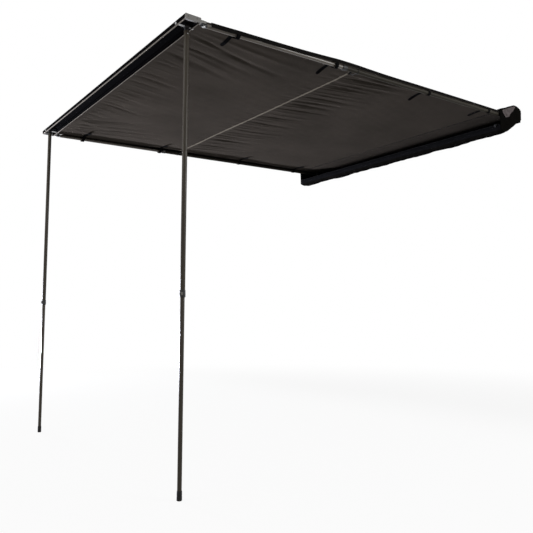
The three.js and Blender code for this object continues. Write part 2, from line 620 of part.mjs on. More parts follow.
// A loft of closed (y, z) rings along X: an upper skin, a lower skin and a round bead at each end.
function canopyRing(x) {
  const t = canopy.thickness / 2;
  const railY = -rail.depth + groove.radius + groove.cover;
  const keyY = -reach + beam.width - groove.radius - groove.cover;
  const shares = Array.from({ length: canopyRows }, (_, i) => i / (canopyRows - 1));
  const at = (share, skin) =>
    [clothStart + (clothEnd - clothStart) * share, clothHeight(x, share) + skin * t];
  const arc = (y, z, from, to) => Array.from({ length: beadSteps }, (_, i) => {
    const angle = from + (to - from) * i / (beadSteps - 1);
    return [y + bead.radius * Math.cos(angle), z + bead.radius * Math.sin(angle)];
  });
  const neck = Math.asin(t / bead.radius);
  return [...shares.map((s) => at(s, 1)),
    ...arc(keyY, beamGrooveZ, neck, 2 * Math.PI - neck),
    ...shares.reverse().map((s) => at(s, -1)),
    ...arc(railY, railGrooveZ, Math.PI + neck, 3 * Math.PI - neck)].map(([y, z]) => [x, y, z]);
}

// Joins rings of (x, y, z) points that each run anticlockwise seen along -X, and closes the ends.
function loft(rings) {
  const n = rings[0].length;
  const positions = rings.flat(2);
  const index = [];
  for (let i = 0; i < rings.length - 1; i++) {
    for (let j = 0; j < n; j++) {
      const [a, b] = [i * n + j, i * n + (j + 1) % n];
      index.push(a, b, b + n, a, b + n, a + n);
    }
  }
  for (const [start, turn] of [[0, 1], [(rings.length - 1) * n, -1]]) {
    const outline = rings[start / n].map(([, y, z]) => new THREE.Vector2(y, z));
    for (const [a, b, c] of THREE.ShapeUtils.triangulateShape(outline, [])) {
      index.push(start + a, start + (turn > 0 ? c : b), start + (turn > 0 ? b : c));
    }
  }
  const geometry = new THREE.BufferGeometry();
  geometry.setAttribute("position", new THREE.BufferAttribute(new Float32Array(positions), 3));
  geometry.setIndex(index);
  return geometry;
}

function buildCanopy() {
  const rings = Array.from({ length: canopyStations }, (_, i) =>
    canopyRing(canopyHalf * (2 * i / (canopyStations - 1) - 1)));
  const hems = ends.map(({ side }) => mirrored(hemShape(), side));
  add(part, "canopy", join(loft(rings), ...hems), canopyCloth);

  for (const { side, word } of ends) {
    strapShares.forEach((share, i) => {
      add(part, `edge_strap_${word}_${i + 1}`, mirrored(strapShape(side, 1 - share), side), strapWeb);
    });
  }
}

// The doubled hem along a side edge. Its flap hangs down outside the rafter, deeper towards the beam.
function hemShape() {
  const inner = canopyHalf - hem.fold;
  const flap = rafterX + collar.radius + hem.gap;
  const outer = flap + hem.skin;
  const [start, end] = [clothStart - hem.fromRail, clothEnd + hem.fromBeam];
  const rings = Array.from({ length: hemRows }, (_, i) => {
    const along = i / (hemRows - 1);
    const y = start + (end - start) * along;
    const z = clothHeight(canopyHalf, (y - clothStart) / (clothEnd - clothStart));
    const low = z - hem.railDrop - (hem.beamDrop - hem.railDrop) * along;
    return [[outer, low], [outer, z + hem.skin], [inner, z + hem.skin], [inner, z - hem.skin],
      [flap, z - hem.skin], [flap, low]].map(([u, v]) => [y, u, v]);
  });
  return loft(rings).applyMatrix4(alongToY);
}

// A strap sewn under the canopy near its edge. It follows the cloth, droops away from its root and
// has a narrowed tip.
function strapShape(side, share) {
  const y = clothStart + (clothEnd - clothStart) * share;
  const start = canopyHalf - strap.inset;
  const under = (x) => canopy.thickness / 2 + strap.slack + strap.droop * (start - x) / strap.length;
  const top = (x, v) => clothHeight(side * x, (v - clothStart) / (clothEnd - clothStart)) - under(x);
  const ring = (x, w) => [[x, y + w, top(x, y + w)], [x, y - w, top(x, y - w)],
    [x, y - w, top(x, y - w) - strap.thick], [x, y + w, top(x, y + w) - strap.thick]];
  const w = strap.width / 2;
  const run = strap.length - strap.tip;
  const rings = Array.from({ length: strapSteps }, (_, i) =>
    ring(start - run * i / (strapSteps - 1), w));
  return loft([...rings, ring(start - strap.length, w - strap.tip)]);
}

// A bent sheet as a closed (y, z) outline: a straight root, then a smooth line through the points.
function ribbon(root, points, thickness, steps) {
  const [start, ...bends] = [root, ...points].map(([y, z]) => new THREE.Vector3(y, z, 0));
  const curve = new THREE.CatmullRomCurve3(bends, false, "centripetal");
  const line = [start, ...curve.getSpacedPoints(steps)];
  const side = (way) => line.map((p, i) => {
    const before = line[Math.max(0, i - 1)];
    const after = line[Math.min(line.length - 1, i + 1)];
    const along = new THREE.Vector2(after.x - before.x, after.y - before.y).normalize();
    return [p.x - way * along.y * thickness / 2, p.y + way * along.x * thickness / 2];
  });
  return polygon([...side(1), ...side(-1).reverse()]);
}

function buildBag() {
  const [x0, x1] = [-half, half];
  const rim = rail.height / 2;
  const { thickness } = bag;
  const y = bagGrooveY;
  const topPoints = [[y, rim + thickness], [-bag.stepOut, bag.rearRise], [-bag.crestOut, bag.crest],
    [-bag.midOut, bag.midRise], [-bag.lipOut, -bag.topLip]];
  const topFlap = join(alongX(ribbon([y, bagGrooveZ], topPoints, thickness, flapSteps), x0, x1),
    alongX(disc(y, bagGrooveZ, bead.radius), x0, x1));
  add(part, "bag_top_flap", topFlap, bagVinyl);

  const zipY = -bag.lipOut - thickness;
  const hem = -bag.lipDrop - zip.tapeHeight;
  const lowerPoints = [[y, -rim - thickness], [-bag.heelOut, -bag.heelDrop], [-bag.bellyOut, -bag.bellyDrop],
    [-bag.floorOut, -bag.floorDrop], [-bag.bowOut, -bag.bowDrop], [zipY, -bag.frontDrop], [zipY, hem]];
  const tape = rectangle(zipY - zip.tape / 2, hem - zip.tape, zipY + zip.tape / 2, -bag.lipDrop);
  const lowerFlap = join(alongX(ribbon([y, -bagGrooveZ], lowerPoints, thickness, flapSteps), x0, x1),
    alongX(disc(y, -bagGrooveZ, bead.radius), x0, x1), alongX(tape, x0, x1),
    alongX(disc(zipY, -bag.lipDrop, zip.teethRadius, smallSides), x0, x1));
  add(part, "bag_lower_flap", lowerFlap, bagVinyl);

  const m = bag.endMargin;
  const outline = polygon([[0, rim], [-bag.stepOut, bag.rearRise + m], [-bag.crestOut, bag.crest + m],
    [-bag.midOut, bag.midRise + m], [-bag.lipOut - m, -bag.topLip + m], [zipY - m, -bag.frontDrop],
    [-bag.bowOut, -bag.bowDrop - m], [-bag.floorOut, -bag.floorDrop - m],
    [-bag.bellyOut, -bag.bellyDrop - m], [-bag.heelOut + m, -bag.heelDrop - m], [0, -rim]]);
  for (const { side, word } of ends) {
    const panel = alongX(outline, half + fit, half + fit + bag.endThick);
    add(part, `bag_end_${word}`, mirrored(panel, side), bagVinyl);
  }
  buildZipSlider(zipY);
}

// The slider rides on the lower flap's zip edge: a slot for the tape and a bore for the teeth.
function buildZipSlider(zipY) {
  const x1 = half - zip.startInset;
  const x0 = x1 - zip.sliderLength;
  const w = zip.sliderWidth / 2;
  const top = -bag.lipDrop + zip.sliderHeight / 2;
  const body = alongX(rectangle(zipY - w, top - zip.sliderHeight, zipY + w, top, w / 2), x0, x1, 3);
  const bore = alongX(disc(zipY, -bag.lipDrop, zip.teethRadius + zip.slack), x0 - overrun, x1 + overrun);
  const gap = zip.tape / 2 + zip.slack;
  const slot = alongX(rectangle(zipY - gap, top - zip.sliderHeight - overrun, zipY + gap, -bag.lipDrop),
    x0 - overrun, x1 + overrun);
  const tabTop = top - zip.sliderHeight / 2;
  const [tab0, tab1] = [(x0 + x1 - zip.tabWidth) / 2, (x0 + x1 + zip.tabWidth) / 2];
  const t = zip.tape;
  const tab = alongX(rectangle(zipY - w - t, tabTop - zip.tabLength, zipY - w, tabTop + t), tab0, tab1);
  const bridge = alongX(rectangle(zipY - w - t, tabTop - t, zipY - w + t, tabTop + t), tab0, tab1);
  add(part, "zip_slider", join(cut(body, bore, slot), tab, bridge), brightSteel);
}

buildRail();
ends.forEach(buildRailCap);
ends.forEach(buildBracket);
buildBeam();
ends.forEach(buildBeamCap);
ends.forEach(buildLeg);
ends.forEach(buildRafter);
buildCanopy();
buildBag();

export default part;
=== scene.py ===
"""Looks for the side awning: cloth, webbing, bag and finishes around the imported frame."""
import json
import math

import bmesh
import bpy
import numpy as np
from mathutils import Matrix, Vector

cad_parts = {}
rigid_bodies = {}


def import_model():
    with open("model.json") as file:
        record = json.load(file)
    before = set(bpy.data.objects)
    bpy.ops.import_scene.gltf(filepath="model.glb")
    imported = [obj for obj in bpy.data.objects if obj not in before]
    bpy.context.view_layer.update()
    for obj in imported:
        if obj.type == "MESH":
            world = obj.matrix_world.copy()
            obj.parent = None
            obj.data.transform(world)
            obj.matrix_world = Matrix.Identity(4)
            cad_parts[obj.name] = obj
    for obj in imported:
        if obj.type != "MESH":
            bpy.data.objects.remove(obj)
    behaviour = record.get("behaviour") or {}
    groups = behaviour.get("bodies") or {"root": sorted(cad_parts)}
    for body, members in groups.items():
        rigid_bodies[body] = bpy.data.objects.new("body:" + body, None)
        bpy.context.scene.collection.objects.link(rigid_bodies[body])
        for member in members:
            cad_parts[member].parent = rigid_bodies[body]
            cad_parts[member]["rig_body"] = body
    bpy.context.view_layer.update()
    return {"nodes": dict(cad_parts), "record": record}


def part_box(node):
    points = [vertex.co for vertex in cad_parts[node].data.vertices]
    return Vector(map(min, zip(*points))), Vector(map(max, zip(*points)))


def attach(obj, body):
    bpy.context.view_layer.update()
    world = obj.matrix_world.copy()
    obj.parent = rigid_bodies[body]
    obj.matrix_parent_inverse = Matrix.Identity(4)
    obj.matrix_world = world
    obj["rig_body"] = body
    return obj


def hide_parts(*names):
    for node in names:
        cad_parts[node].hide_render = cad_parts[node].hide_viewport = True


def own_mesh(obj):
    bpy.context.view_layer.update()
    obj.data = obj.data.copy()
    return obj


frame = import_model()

SOLIDS = frame["nodes"]
MM = 0.001
SIDES = ((1, "right"), (-1, "left"))
SOFT_SLOTS = ("canopy_cloth", "strap_web", "bag_vinyl")
rng = np.random.default_rng(7)

# Places read from the solids
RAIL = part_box("rail")
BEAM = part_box("front_beam")
GROUND_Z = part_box("leg_foot_right")[0].z
HEM_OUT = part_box("canopy")[1].x

# Lines that the solids are built on
CLOTH_HALF = 990 * MM                                 # the canopy without its side hems
CLOTH_RAIL = Vector((0, -18.6 * MM, -5 * MM))         # where the cloth leaves the rail's groove
CLOTH_BEAM = Vector((0, -2451.4 * MM, -84 * MM))      # where it enters the beam's groove
RAFTER_X = 982 * MM
RAFTER_TOP = Vector((0, -40 * MM, -22 * MM))          # both rafters lie on one sloping line
RAFTER_LOW = Vector((0, -2432 * MM, -97.2 * MM))
RAFTER_PIVOT_Y = {"right": -40 * MM, "left": -67 * MM}
OUTER_RADIUS, INNER_RADIUS = 11 * MM, 9.5 * MM        # the telescopic tubes
SEAM_Y = -1494 * MM                                   # the seam that joins the canopy's two panels
BAG_HALF = 1.0                                        # half the bag's length along the rail
SLOPE_AXIS = (RAFTER_TOP - RAFTER_LOW).normalized()


# Materials

def linear(hex_colour):
    """An sRGB hex colour as the linear colour that shaders take."""
    parts = [int(hex_colour[i:i + 2], 16) / 255 for i in (1, 3, 5)]
    return [p / 12.92 if p <= 0.04045 else ((p + 0.055) / 1.055) ** 2.4 for p in parts] + [1]


def add_node(tree, kind, inputs=None, **settings):
    """Adds a node with its settings; an input is a value or another node's output."""
    made = tree.nodes.new(kind)
    for name, value in settings.items():
        setattr(made, name, value)
    for name, value in (inputs or {}).items():
        if isinstance(value, bpy.types.NodeSocket):
            tree.links.new(value, made.inputs[name])
        else:
            made.inputs[name].default_value = value
    return made


def emptied_tree(owner):
    """The node tree of a material or world, with nothing in it."""
    owner.use_nodes = True
    owner.node_tree.nodes.clear()
    return owner.node_tree


def surface(name, colour, rough, height, bump, **sockets):
    """Finishes a material. colour, rough and height are functions of the tree and its object coordinates
    that give an output; bump is (strength, depth in metres), and sockets are the shader's own values."""
    material = bpy.data.materials.new(name)
    tree = emptied_tree(material)
    place = add_node(tree, "ShaderNodeTexCoord").outputs["Object"]
    strength, depth = bump
    relief = add_node(tree, "ShaderNodeBump", {"Strength": strength, "Distance": depth,
                                               "Height": height(tree, place)})
    inputs = {"Base Color": colour(tree, place), "Roughness": rough(tree, place),
              "Normal": relief.outputs[0]}
    inputs.update({key.replace("_", " "): value for key, value in sockets.items()})
    shader = add_node(tree, "ShaderNodeBsdfPrincipled", inputs)
    add_node(tree, "ShaderNodeOutputMaterial", {"Surface": shader.outputs[0]})
    return material


def cloudy(size, detail=3.0, stretch=(1, 1, 1)):
    """Uneven noise; size is a feature's real size in metres, drawn out along an axis where stretch is
    below 1."""
    def make(tree, place):
        spot = add_node(tree, "ShaderNodeMapping", {"Vector": place, "Scale": stretch})
        return add_node(tree, "ShaderNodeTexNoise", {"Vector": spot.outputs[0], "Scale": 1 / size,
                                                     "Detail": detail}).outputs["Fac"]
    return make


def between(dark, light, pattern):
    """A colour that a pattern moves between two hex colours."""
    def make(tree, place):
        return add_node(tree, "ShaderNodeMix", {0: pattern(tree, place), 6: linear(dark), 7: linear(light)},
                        data_type="RGBA").outputs[2]
    return make


def painted_highlight_strips(colour, highlight_colour, *strips):
    """A colour that gives way to a paler one in strips: a painted highlight where an edge catches the light.
    A strip is (axis letter, middle, half width) in metres."""
    def make(tree, place):
        split = add_node(tree, "ShaderNodeSeparateXYZ", {0: place})
        shade = colour(tree, place)
        for axis, middle, half in strips:
            off = add_node(tree, "ShaderNodeMath", {0: split.outputs[axis], 1: middle}, operation="SUBTRACT")
            off = add_node(tree, "ShaderNodeMath", {0: off.outputs[0]}, operation="ABSOLUTE")
            share = add_node(tree, "ShaderNodeMapRange", {"Value": off.outputs[0], "From Min": half * 1.3,
                                                          "From Max": half * 0.7})
            shade = add_node(tree, "ShaderNodeMix", {0: share.outputs[0], 6: shade, 7: linear(highlight_colour)},
                             data_type="RGBA").outputs[2]
        return shade
    return make


def ranged(low, high, pattern):
    """A value that a pattern moves between two limits."""
    def make(tree, place):
        limits = {"From Min": 0.3, "From Max": 0.7, "To Min": low, "To Max": high}
        return add_node(tree, "ShaderNodeMapRange", {"Value": pattern(tree, place), **limits}).outputs[0]
    return make


def threads(pitch_x, pitch_y, along="XY"):
    """Two sets of crossing threads; each pitch is a real size in metres."""
    def make(tree, place):
        split = add_node(tree, "ShaderNodeSeparateXYZ", {0: place})
        turns = []
        for axis, pitch in zip(along, (pitch_x, pitch_y)):
            turn = add_node(tree, "ShaderNodeMath", {0: split.outputs[axis], 1: 2 * math.pi / pitch},
                            operation="MULTIPLY")
            turns.append(add_node(tree, "ShaderNodeMath", {0: turn.outputs[0]}, operation="SINE").outputs[0])
        return add_node(tree, "ShaderNodeMath", {0: turns[0], 1: turns[1]}, operation="MULTIPLY").outputs[0]
    return make


def ripstop(pitch, share):
    """A square grid of raised lines; pitch is a real size in metres, share the part a line takes."""
    def make(tree, place):
        split = add_node(tree, "ShaderNodeSeparateXYZ", {0: place})
        lines = []
        for axis in "XY":
            cell = add_node(tree, "ShaderNodeMath", {0: split.outputs[axis], 1: 1 / pitch},
                            operation="MULTIPLY")
            part = add_node(tree, "ShaderNodeMath", {0: cell.outputs[0]}, operation="FRACT")
            lines.append(add_node(tree, "ShaderNodeMath", {0: part.outputs[0], 1: share},
                                  operation="LESS_THAN").outputs[0])
        return add_node(tree, "ShaderNodeMath", {0: lines[0], 1: lines[1]}, operation="MAXIMUM").outputs[0]
    return make


def summed(first, second, weight):
    """The first pattern plus a share of the second."""
    def make(tree, place):
        return add_node(tree, "ShaderNodeMath", {0: second(tree, place), 1: weight, 2: first(tree, place)},
                        operation="MULTIPLY_ADD").outputs[0]
    return make


# Die lines run on along a profile for many times their spacing. Real ones are finer than this spacing,
# which is as coarse as it needs to be to show.
DRAWN_OUT = 0.006
DIE_LINE = 1.111 * MM
ALONG_X, ALONG_Y, ALONG_Z = (DRAWN_OUT, 1, 1), (1, DRAWN_OUT, 1), (1, 1, DRAWN_OUT)
# Moulded grain is a tenth of a millimetre or so, and is drawn this coarse so that it shows
GRAIN, COIL_GRAIN = 0.9 * MM, 1.2 * MM


def anodised(name, colour, stretch, rough, **sockets):
    """Extruded aluminium, anodised: a dull metal sheen with faint die lines along the profile."""
    lines = cloudy(DIE_LINE, 4, stretch)
    dark, light, *strips = colour
    shade = between(dark, light, lines)
    # strips, where given, are paler bands of painted highlight
    shade = painted_highlight_strips(shade, *strips) if strips else shade
    return surface(name, shade, ranged(*rough, lines), lines, (0.12, 0.1 * MM), **sockets)


def moulded(name, dark, light, rough, grain, **sockets):
    """Injection-moulded plastic: a fine spark-eroded grain and a soft, even sheen."""
    spots = cloudy(grain, 5)
    return surface(name, between(dark, light, cloudy(33.3 * MM)), ranged(*rough, spots), spots,
                   (0.25, 0.08 * MM), IOR=1.5, **sockets)


FINISHES = {
    # black anodised profile: nearly black, with a grey sheen only where light grazes it
    "black_aluminium": anodised("black anodised aluminium", ("#121214", "#1b1b1e"), ALONG_X, (0.5, 0.62),
                                Specular_IOR_Level=0.03),
    # the rafters' inner tubes: a worn, warm grey that catches the light as a bright line
    "grey_aluminium": anodised("grey anodised aluminium", ("#403b35", "#57514a"), ALONG_Y, (0.26, 0.36),
                               Specular_IOR_Level=0.3),
    # charcoal anodised legs, darker than the rafters' inner tubes
    "tube_aluminium": anodised("charcoal anodised aluminium", ("#282520", "#3f3a33"), ALONG_Z, (0.24, 0.34),
                               Specular_IOR_Level=0.1),
    # zinc plating: bright metal, mottled in patches of a few millimetres
    "bright_steel": surface("zinc-plated steel", between("#8f9092", "#c0c1c3", cloudy(4.55 * MM)),
                            ranged(0.22, 0.38, cloudy(2.5 * MM)), cloudy(1.11 * MM), (0.1, 0.05 * MM),
                            Metallic=1.0),
    # powder coat: an even black with the fine orange peel of melted powder
    "black_steel": surface("powder-coated steel", between("#101011", "#181819", cloudy(16.7 * MM)),
                           ranged(0.38, 0.5, cloudy(3.33 * MM)), cloudy(1.43 * MM, 2), (0.3, 0.1 * MM),
                           Specular_IOR_Level=0.3),
    # moulded nylon: black and a little softer in sheen than the powder coat
    "black_nylon": moulded("moulded black nylon", "#101011", "#1a1a1b", (0.5, 0.64), GRAIN,
                           Specular_IOR_Level=0.3),
    # glass-filled nylon of the beam's caps and the buttons: mid grey, a little chalky
    "grey_nylon": moulded("moulded grey nylon", "#514f4c", "#64625e", (0.52, 0.66), GRAIN,
                          Specular_IOR_Level=0.3),
    # vulcanised rubber: dark and dull, dusty in places
    "black_rubber": surface("moulded rubber", between("#0c0c0c", "#191817", cloudy(20 * MM)),
                            ranged(0.7, 0.9, cloudy(8.33 * MM)), cloudy(1.25 * MM), (0.3, 0.12 * MM),
                            Specular_IOR_Level=0.2),
}
# The beam's profile is the same black, with painted highlights along its two lips: paler strips where they
# catch the light
LIP_HIGHLIGHT = ("Z", BEAM[0].z + 0.6 * MM, 1.2 * MM)
BEAM_FINISH = anodised("black anodised aluminium with painted lip highlights",
                       ("#080809", "#0f0f10", "#6f6a63", LIP_HIGHLIGHT), ALONG_X, (0.45, 0.6),
                       Specular_IOR_Level=0.0)
# The rafters' outer tubes are an olive grey, darker than the tubes that slide in them; part of that darkness
# is painted shade, for the shade they lie in towards the rail
OLIVE_AND_SHADED_TUBE_FINISH = anodised("olive anodised aluminium with painted shade", ("#22201c", "#322f29"), ALONG_Y, (0.4, 0.52),
                             Specular_IOR_Level=0.04)
SPECIAL_FINISHES = {"front_beam": BEAM_FINISH, "rafter_outer_tube_right": OLIVE_AND_SHADED_TUBE_FINISH,
                    "rafter_outer_tube_left": OLIVE_AND_SHADED_TUBE_FINISH, "zip_slider": FINISHES["black_steel"]}

# Coated ripstop polyester: dark, dull cloth with a woven grid. The real grid is 5 mm and is drawn at
# 9 mm, so that it shows.
CANOPY_CLOTH = surface("coated ripstop polyester", between("#2a2723", "#3a3530", cloudy(385 * MM, 4)),
                       ranged(0.55, 0.7, cloudy(71.4 * MM)),
                       summed(cloudy(3.85 * MM), ripstop(9 * MM, 0.1), 0.6), (0.25, 0.25 * MM), IOR=1.46,
                       Specular_IOR_Level=0.0)
# The hem's doubled cloth, bound with a denser, blacker tape; its weave is drawn at 6 mm, so that it shows
HEM_CLOTH = surface("bound polyester hem", between("#0d0c0c", "#171615", cloudy(25 * MM, 4)),
                    ranged(0.6, 0.75, cloudy(33.3 * MM)),
                    summed(cloudy(5 * MM), threads(6 * MM, 6 * MM), 0.2), (0.3, 0.3 * MM), IOR=1.46,
                    Specular_IOR_Level=0.0)
# Seam tape: a lighter woven tape bonded over the seam's stitching, its 1.2 mm weave drawn as it is
SEAM_TAPE = surface("polyester seam tape", between("#544f47", "#6c665b", cloudy(16.7 * MM)),
                    ranged(0.55, 0.7, cloudy(16.7 * MM)), threads(1.2 * MM, 1.2 * MM), (0.3, 0.15 * MM),
                    Specular_IOR_Level=0.0)
# Polyester webbing: matt black with ribs across; the real rib is 1 mm and is drawn at 1.6 mm
WEBBING = surface("woven polyester webbing", between("#080809", "#121213", cloudy(8.33 * MM)),
                  ranged(0.75, 0.9, cloudy(16.7 * MM)), threads(3.2 * MM, 1.6 * MM), (0.6, 0.4 * MM),
                  Specular_IOR_Level=0.0)
# PVC-coated polyester: black vinyl over a coarse 2 mm weave that shows through as a fine emboss
VINYL = surface("PVC-coated polyester", between("#060605", "#0d0c0b", cloudy(111 * MM)),
                ranged(0.5, 0.66, cloudy(55.6 * MM)), summed(cloudy(16.7 * MM), threads(2 * MM, 2 * MM), 0.1),
                (0.2, 0.3 * MM), IOR=1.5, Specular_IOR_Level=0.0)
# Painted light and shade on the bag's ends: a pale grey-brown sheet over the upper part of each end, where
# its crumpled top catches the light, mottled dark between the crumples
LIT_PATCH_VINYL = surface("vinyl painted with caught light", between("#1b1716", "#554e4e", cloudy(25 * MM, 5)),
                     ranged(0.55, 0.7, cloudy(33.3 * MM)),
                     summed(cloudy(11.1 * MM), threads(2 * MM, 2 * MM, "YZ"), 0.2), (0.4, 0.6 * MM),
                     Specular_IOR_Level=0.05)
# Coil zip: polyester teeth, black, glossier than the tape they are sewn to
ZIP_COIL = moulded("polyester zip coil", "#101011", "#1b1b1c", (0.35, 0.5), COIL_GRAIN,
                   Specular_IOR_Level=0.35)
# Braided cord: black polyester sheath, its 2 mm braid drawn as it is
BRAID = surface("braided polyester cord", between("#0b0b0b", "#1c1b1a", threads(2 * MM, 2 * MM, "XZ")),
                ranged(0.7, 0.85, cloudy(3.33 * MM)), threads(2 * MM, 2 * MM, "XZ"), (0.5, 0.2 * MM),
                Specular_IOR_Level=0.2)


# Mesh helpers

SHARP_ANGLE = math.radians(38)                        # edges that turn further than this are drawn sharp
EASED_EDGE = 0.35 * MM                                # rounding of the rigid pieces' edges


def piece(name, mesh, material, body):
    """Makes an object of a mesh, smooth where it is round, and lets it ride on a body."""
    mesh.materials.clear()
    mesh.materials.append(material)
    for face in mesh.polygons:
        face.use_smooth = True
    mesh.set_sharp_from_angle(angle=SHARP_ANGLE)
    made = bpy.data.objects.new(name, mesh)
    bpy.context.scene.collection.objects.link(made)
    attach(made, body)
    return made


def finished(name, shape):
    """The mesh of a bmesh, which is freed."""
    mesh = bpy.data.meshes.new(name)
    shape.to_mesh(mesh)
    shape.free()
    return mesh


def eased(node):
    """A rigid solid with its sharp edges rounded off, as cast, moulded and cut pieces have."""
    body = SOLIDS[node]["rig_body"]
    slot = next(s["material_slot"] for s in frame["record"]["subparts"] if s["node"] == node)
    shape = bmesh.new()
    shape.from_mesh(SOLIDS[node].data)
    bmesh.ops.remove_doubles(shape, verts=shape.verts, dist=1e-6)
    bmesh.ops.dissolve_limit(shape, angle_limit=math.radians(0.5), verts=shape.verts, edges=shape.edges)
    sharp = [e for e in shape.edges if e.is_manifold and e.calc_face_angle() > math.radians(40)]
    bmesh.ops.bevel(shape, geom=sharp, offset=EASED_EDGE, segments=2, profile=0.7, affect="EDGES",
                    clamp_overlap=True)
    bmesh.ops.triangulate(shape, faces=[f for f in shape.faces if len(f.verts) > 4])
    mesh = finished(node + "_finish", shape)
    made = piece(node + "_finish", mesh, SPECIAL_FINISHES.get(node, FINISHES[slot]), body)
    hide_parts(node)
    return made


def cloth_piece(name, grid, thickness, material):
    """A closed sheet of cloth around a grid of points, shaped (rows, columns, 3)."""
    rows, columns = grid.shape[:2]
    across = np.cross(np.gradient(grid, axis=0), np.gradient(grid, axis=1))
    across /= np.linalg.norm(across, axis=2, keepdims=True)
    points = np.concatenate([(grid + across * thickness / 2).reshape(-1, 3),
                             (grid - across * thickness / 2).reshape(-1, 3)])
    size = rows * columns
    corner = (np.arange(rows - 1)[:, None] * columns + np.arange(columns - 1)).reshape(-1)
    quads = np.stack([corner, corner + columns, corner + columns + 1, corner + 1], axis=1)
    rim = [*range(columns), *range(2 * columns - 1, size, columns),
           *range(size - 2, size - columns - 1, -1), *range(size - 2 * columns, 0, -columns)]
    side = [(a, b, b + size, a + size) for a, b in zip(rim, rim[1:] + rim[:1])]
    faces = quads.tolist() + (quads[:, ::-1] + size).tolist() + side
    mesh = bpy.data.meshes.new(name)
    mesh.from_pydata(points.tolist(), [], faces)
    shape = bmesh.new()
    shape.from_mesh(mesh)
    bmesh.ops.recalc_face_normals(shape, faces=shape.faces)
    shape.to_mesh(mesh)
    shape.free()
    return piece(name, mesh, material, "rail_and_bag")


def spline(points, count, steps=24):
    """Evenly spaced points on a smooth line through the given ones."""
    points = [np.array(p, float) for p in points]
    points = [2 * points[0] - points[1], *points, 2 * points[-1] - points[-2]]
    line = []
    for a, b, c, d in zip(points, points[1:], points[2:], points[3:]):
        t = [0.0]
        for p, q in ((a, b), (b, c), (c, d)):
            t.append(t[-1] + max(np.linalg.norm(q - p), 1e-9) ** 0.5)
        for u in np.linspace(t[1], t[2], steps, endpoint=False):
            ab = (a * (t[1] - u) + b * (u - t[0])) / (t[1] - t[0])
            bc = (b * (t[2] - u) + c * (u - t[1])) / (t[2] - t[1])
            cd = (c * (t[3] - u) + d * (u - t[2])) / (t[3] - t[2])
            abc = (ab * (t[2] - u) + bc * (u - t[0])) / (t[2] - t[0])
            bcd = (bc * (t[3] - u) + cd * (u - t[1])) / (t[3] - t[1])
            line.append((abc * (t[2] - u) + bcd * (u - t[1])) / (t[2] - t[1]))
    line.append(points[-2])
    line = np.array(line)
    far = np.concatenate([[0], np.cumsum(np.linalg.norm(np.diff(line, axis=0), axis=1))])
    wanted = np.linspace(0, far[-1], count)
    return np.stack([np.interp(wanted, far, line[:, k]) for k in range(line.shape[1])], axis=1)


def waves(x, y, table):
    """A sum of soft ripples; a row is (height, length, heading in degrees, phase)."""
    total = np.zeros(np.broadcast(x, y).shape)
    for height, length, heading, phase in table:
        turn = math.radians(heading)
        total += height * np.sin(2 * math.pi * (x * math.cos(turn) + y * math.sin(turn)) / length + phase)
    return total


def random_waves(count, height, lengths, headings):
    """A table of ripples with mixed lengths and headings."""
    return [(height * rng.uniform(0.5, 1), rng.uniform(*lengths), rng.uniform(*headings),
             rng.uniform(0, 6.28)) for _ in range(count)]


def creases(x, y, table):
    """A sum of soft ridges that start sharp, widen and die away along their heading; a row is
    (start x, start y, heading in degrees, length, half width, height)."""
    total = np.zeros(np.broadcast(x, y).shape)
    for start_x, start_y, heading, length, width, height in table:
        turn = math.radians(heading)
        along = (x - start_x) * math.cos(turn) + (y - start_y) * math.sin(turn)
        off = (y - start_y) * math.cos(turn) - (x - start_x) * math.sin(turn)
        share = np.clip(along / length, 0, 1)
        fade = np.sin(math.pi * share ** 0.55) ** 1.2
        total += height * fade * np.exp(-(off / (width * (0.6 + 0.8 * share))) ** 2)
    return total


def random_creases(xs, start_y, headings, lengths, widths, heights):
    """A row of ridges side by side, each with its own heading, length, width and height."""
    return [(x, start_y + rng.uniform(-8, 8) * MM, rng.uniform(*headings), rng.uniform(*lengths),
             rng.uniform(*widths) * MM, rng.choice((-0.7, 1.0)) * rng.uniform(*heights) * MM) for x in xs]


def cord_piece(name, path, radius, sides, material, body="rail_and_bag"):
    """A round bead, cord or piping along a path of points, closed at its ends."""
    path = np.array(path, float)
    along = np.gradient(path, axis=0)
    along /= np.linalg.norm(along, axis=1, keepdims=True)
    guide = np.array([0, 0, 1.0]) if abs(along[0][2]) < 0.8 else np.array([1.0, 0, 0])
    angles = np.linspace(0, 2 * math.pi, sides, endpoint=False)
    rings = []
    for point, direction in zip(path, along):
        u = np.cross(direction, guide)
        u /= np.linalg.norm(u)
        v = np.cross(direction, u)
        guide = -v
        rings.append(point + radius * (np.cos(angles)[:, None] * u + np.sin(angles)[:, None] * v))
    faces = []
    for i in range(len(path) - 1):
        for j in range(sides):
            a, b = i * sides + j, i * sides + (j + 1) % sides
            faces.append((a, b, b + sides, a + sides))
    last = (len(path) - 1) * sides
    faces.append(tuple(range(sides))[::-1])
    faces.append(tuple(range(last, last + sides)))
    mesh = bpy.data.meshes.new(name)
    mesh.from_pydata(np.concatenate(rings).tolist(), [], faces)
    return piece(name, mesh, material, body)


# The canopy

SOFT_SWELLS = random_waves(5, 1.5 * MM, (0.55, 0.95), (0, 180))
FINE_CREASES = random_waves(8, 0.22 * MM, (0.03, 0.08), (0, 180))
BEAM_FOLDS = random_creases(np.cumsum(rng.uniform(0.045, 0.09, 27)) - 0.97, CLOTH_BEAM.y + 10 * MM,
                            (101, 114), (0.2, 0.36), (9, 14), (4.5, 7.5))
SEAM_FOLDS = random_creases(np.cumsum(rng.uniform(0.035, 0.075, 34)) - 0.96, SEAM_Y + 2 * MM,
                            (77, 84), (0.25, 0.5), (9, 15), (3.6, 6.5))
SEAM_PUCKERS = random_creases(np.cumsum(rng.uniform(0.03, 0.06, 42)) - 0.96, SEAM_Y - 2 * MM,
                              (255, 268), (0.05, 0.14), (7, 11), (1.2, 2.6))
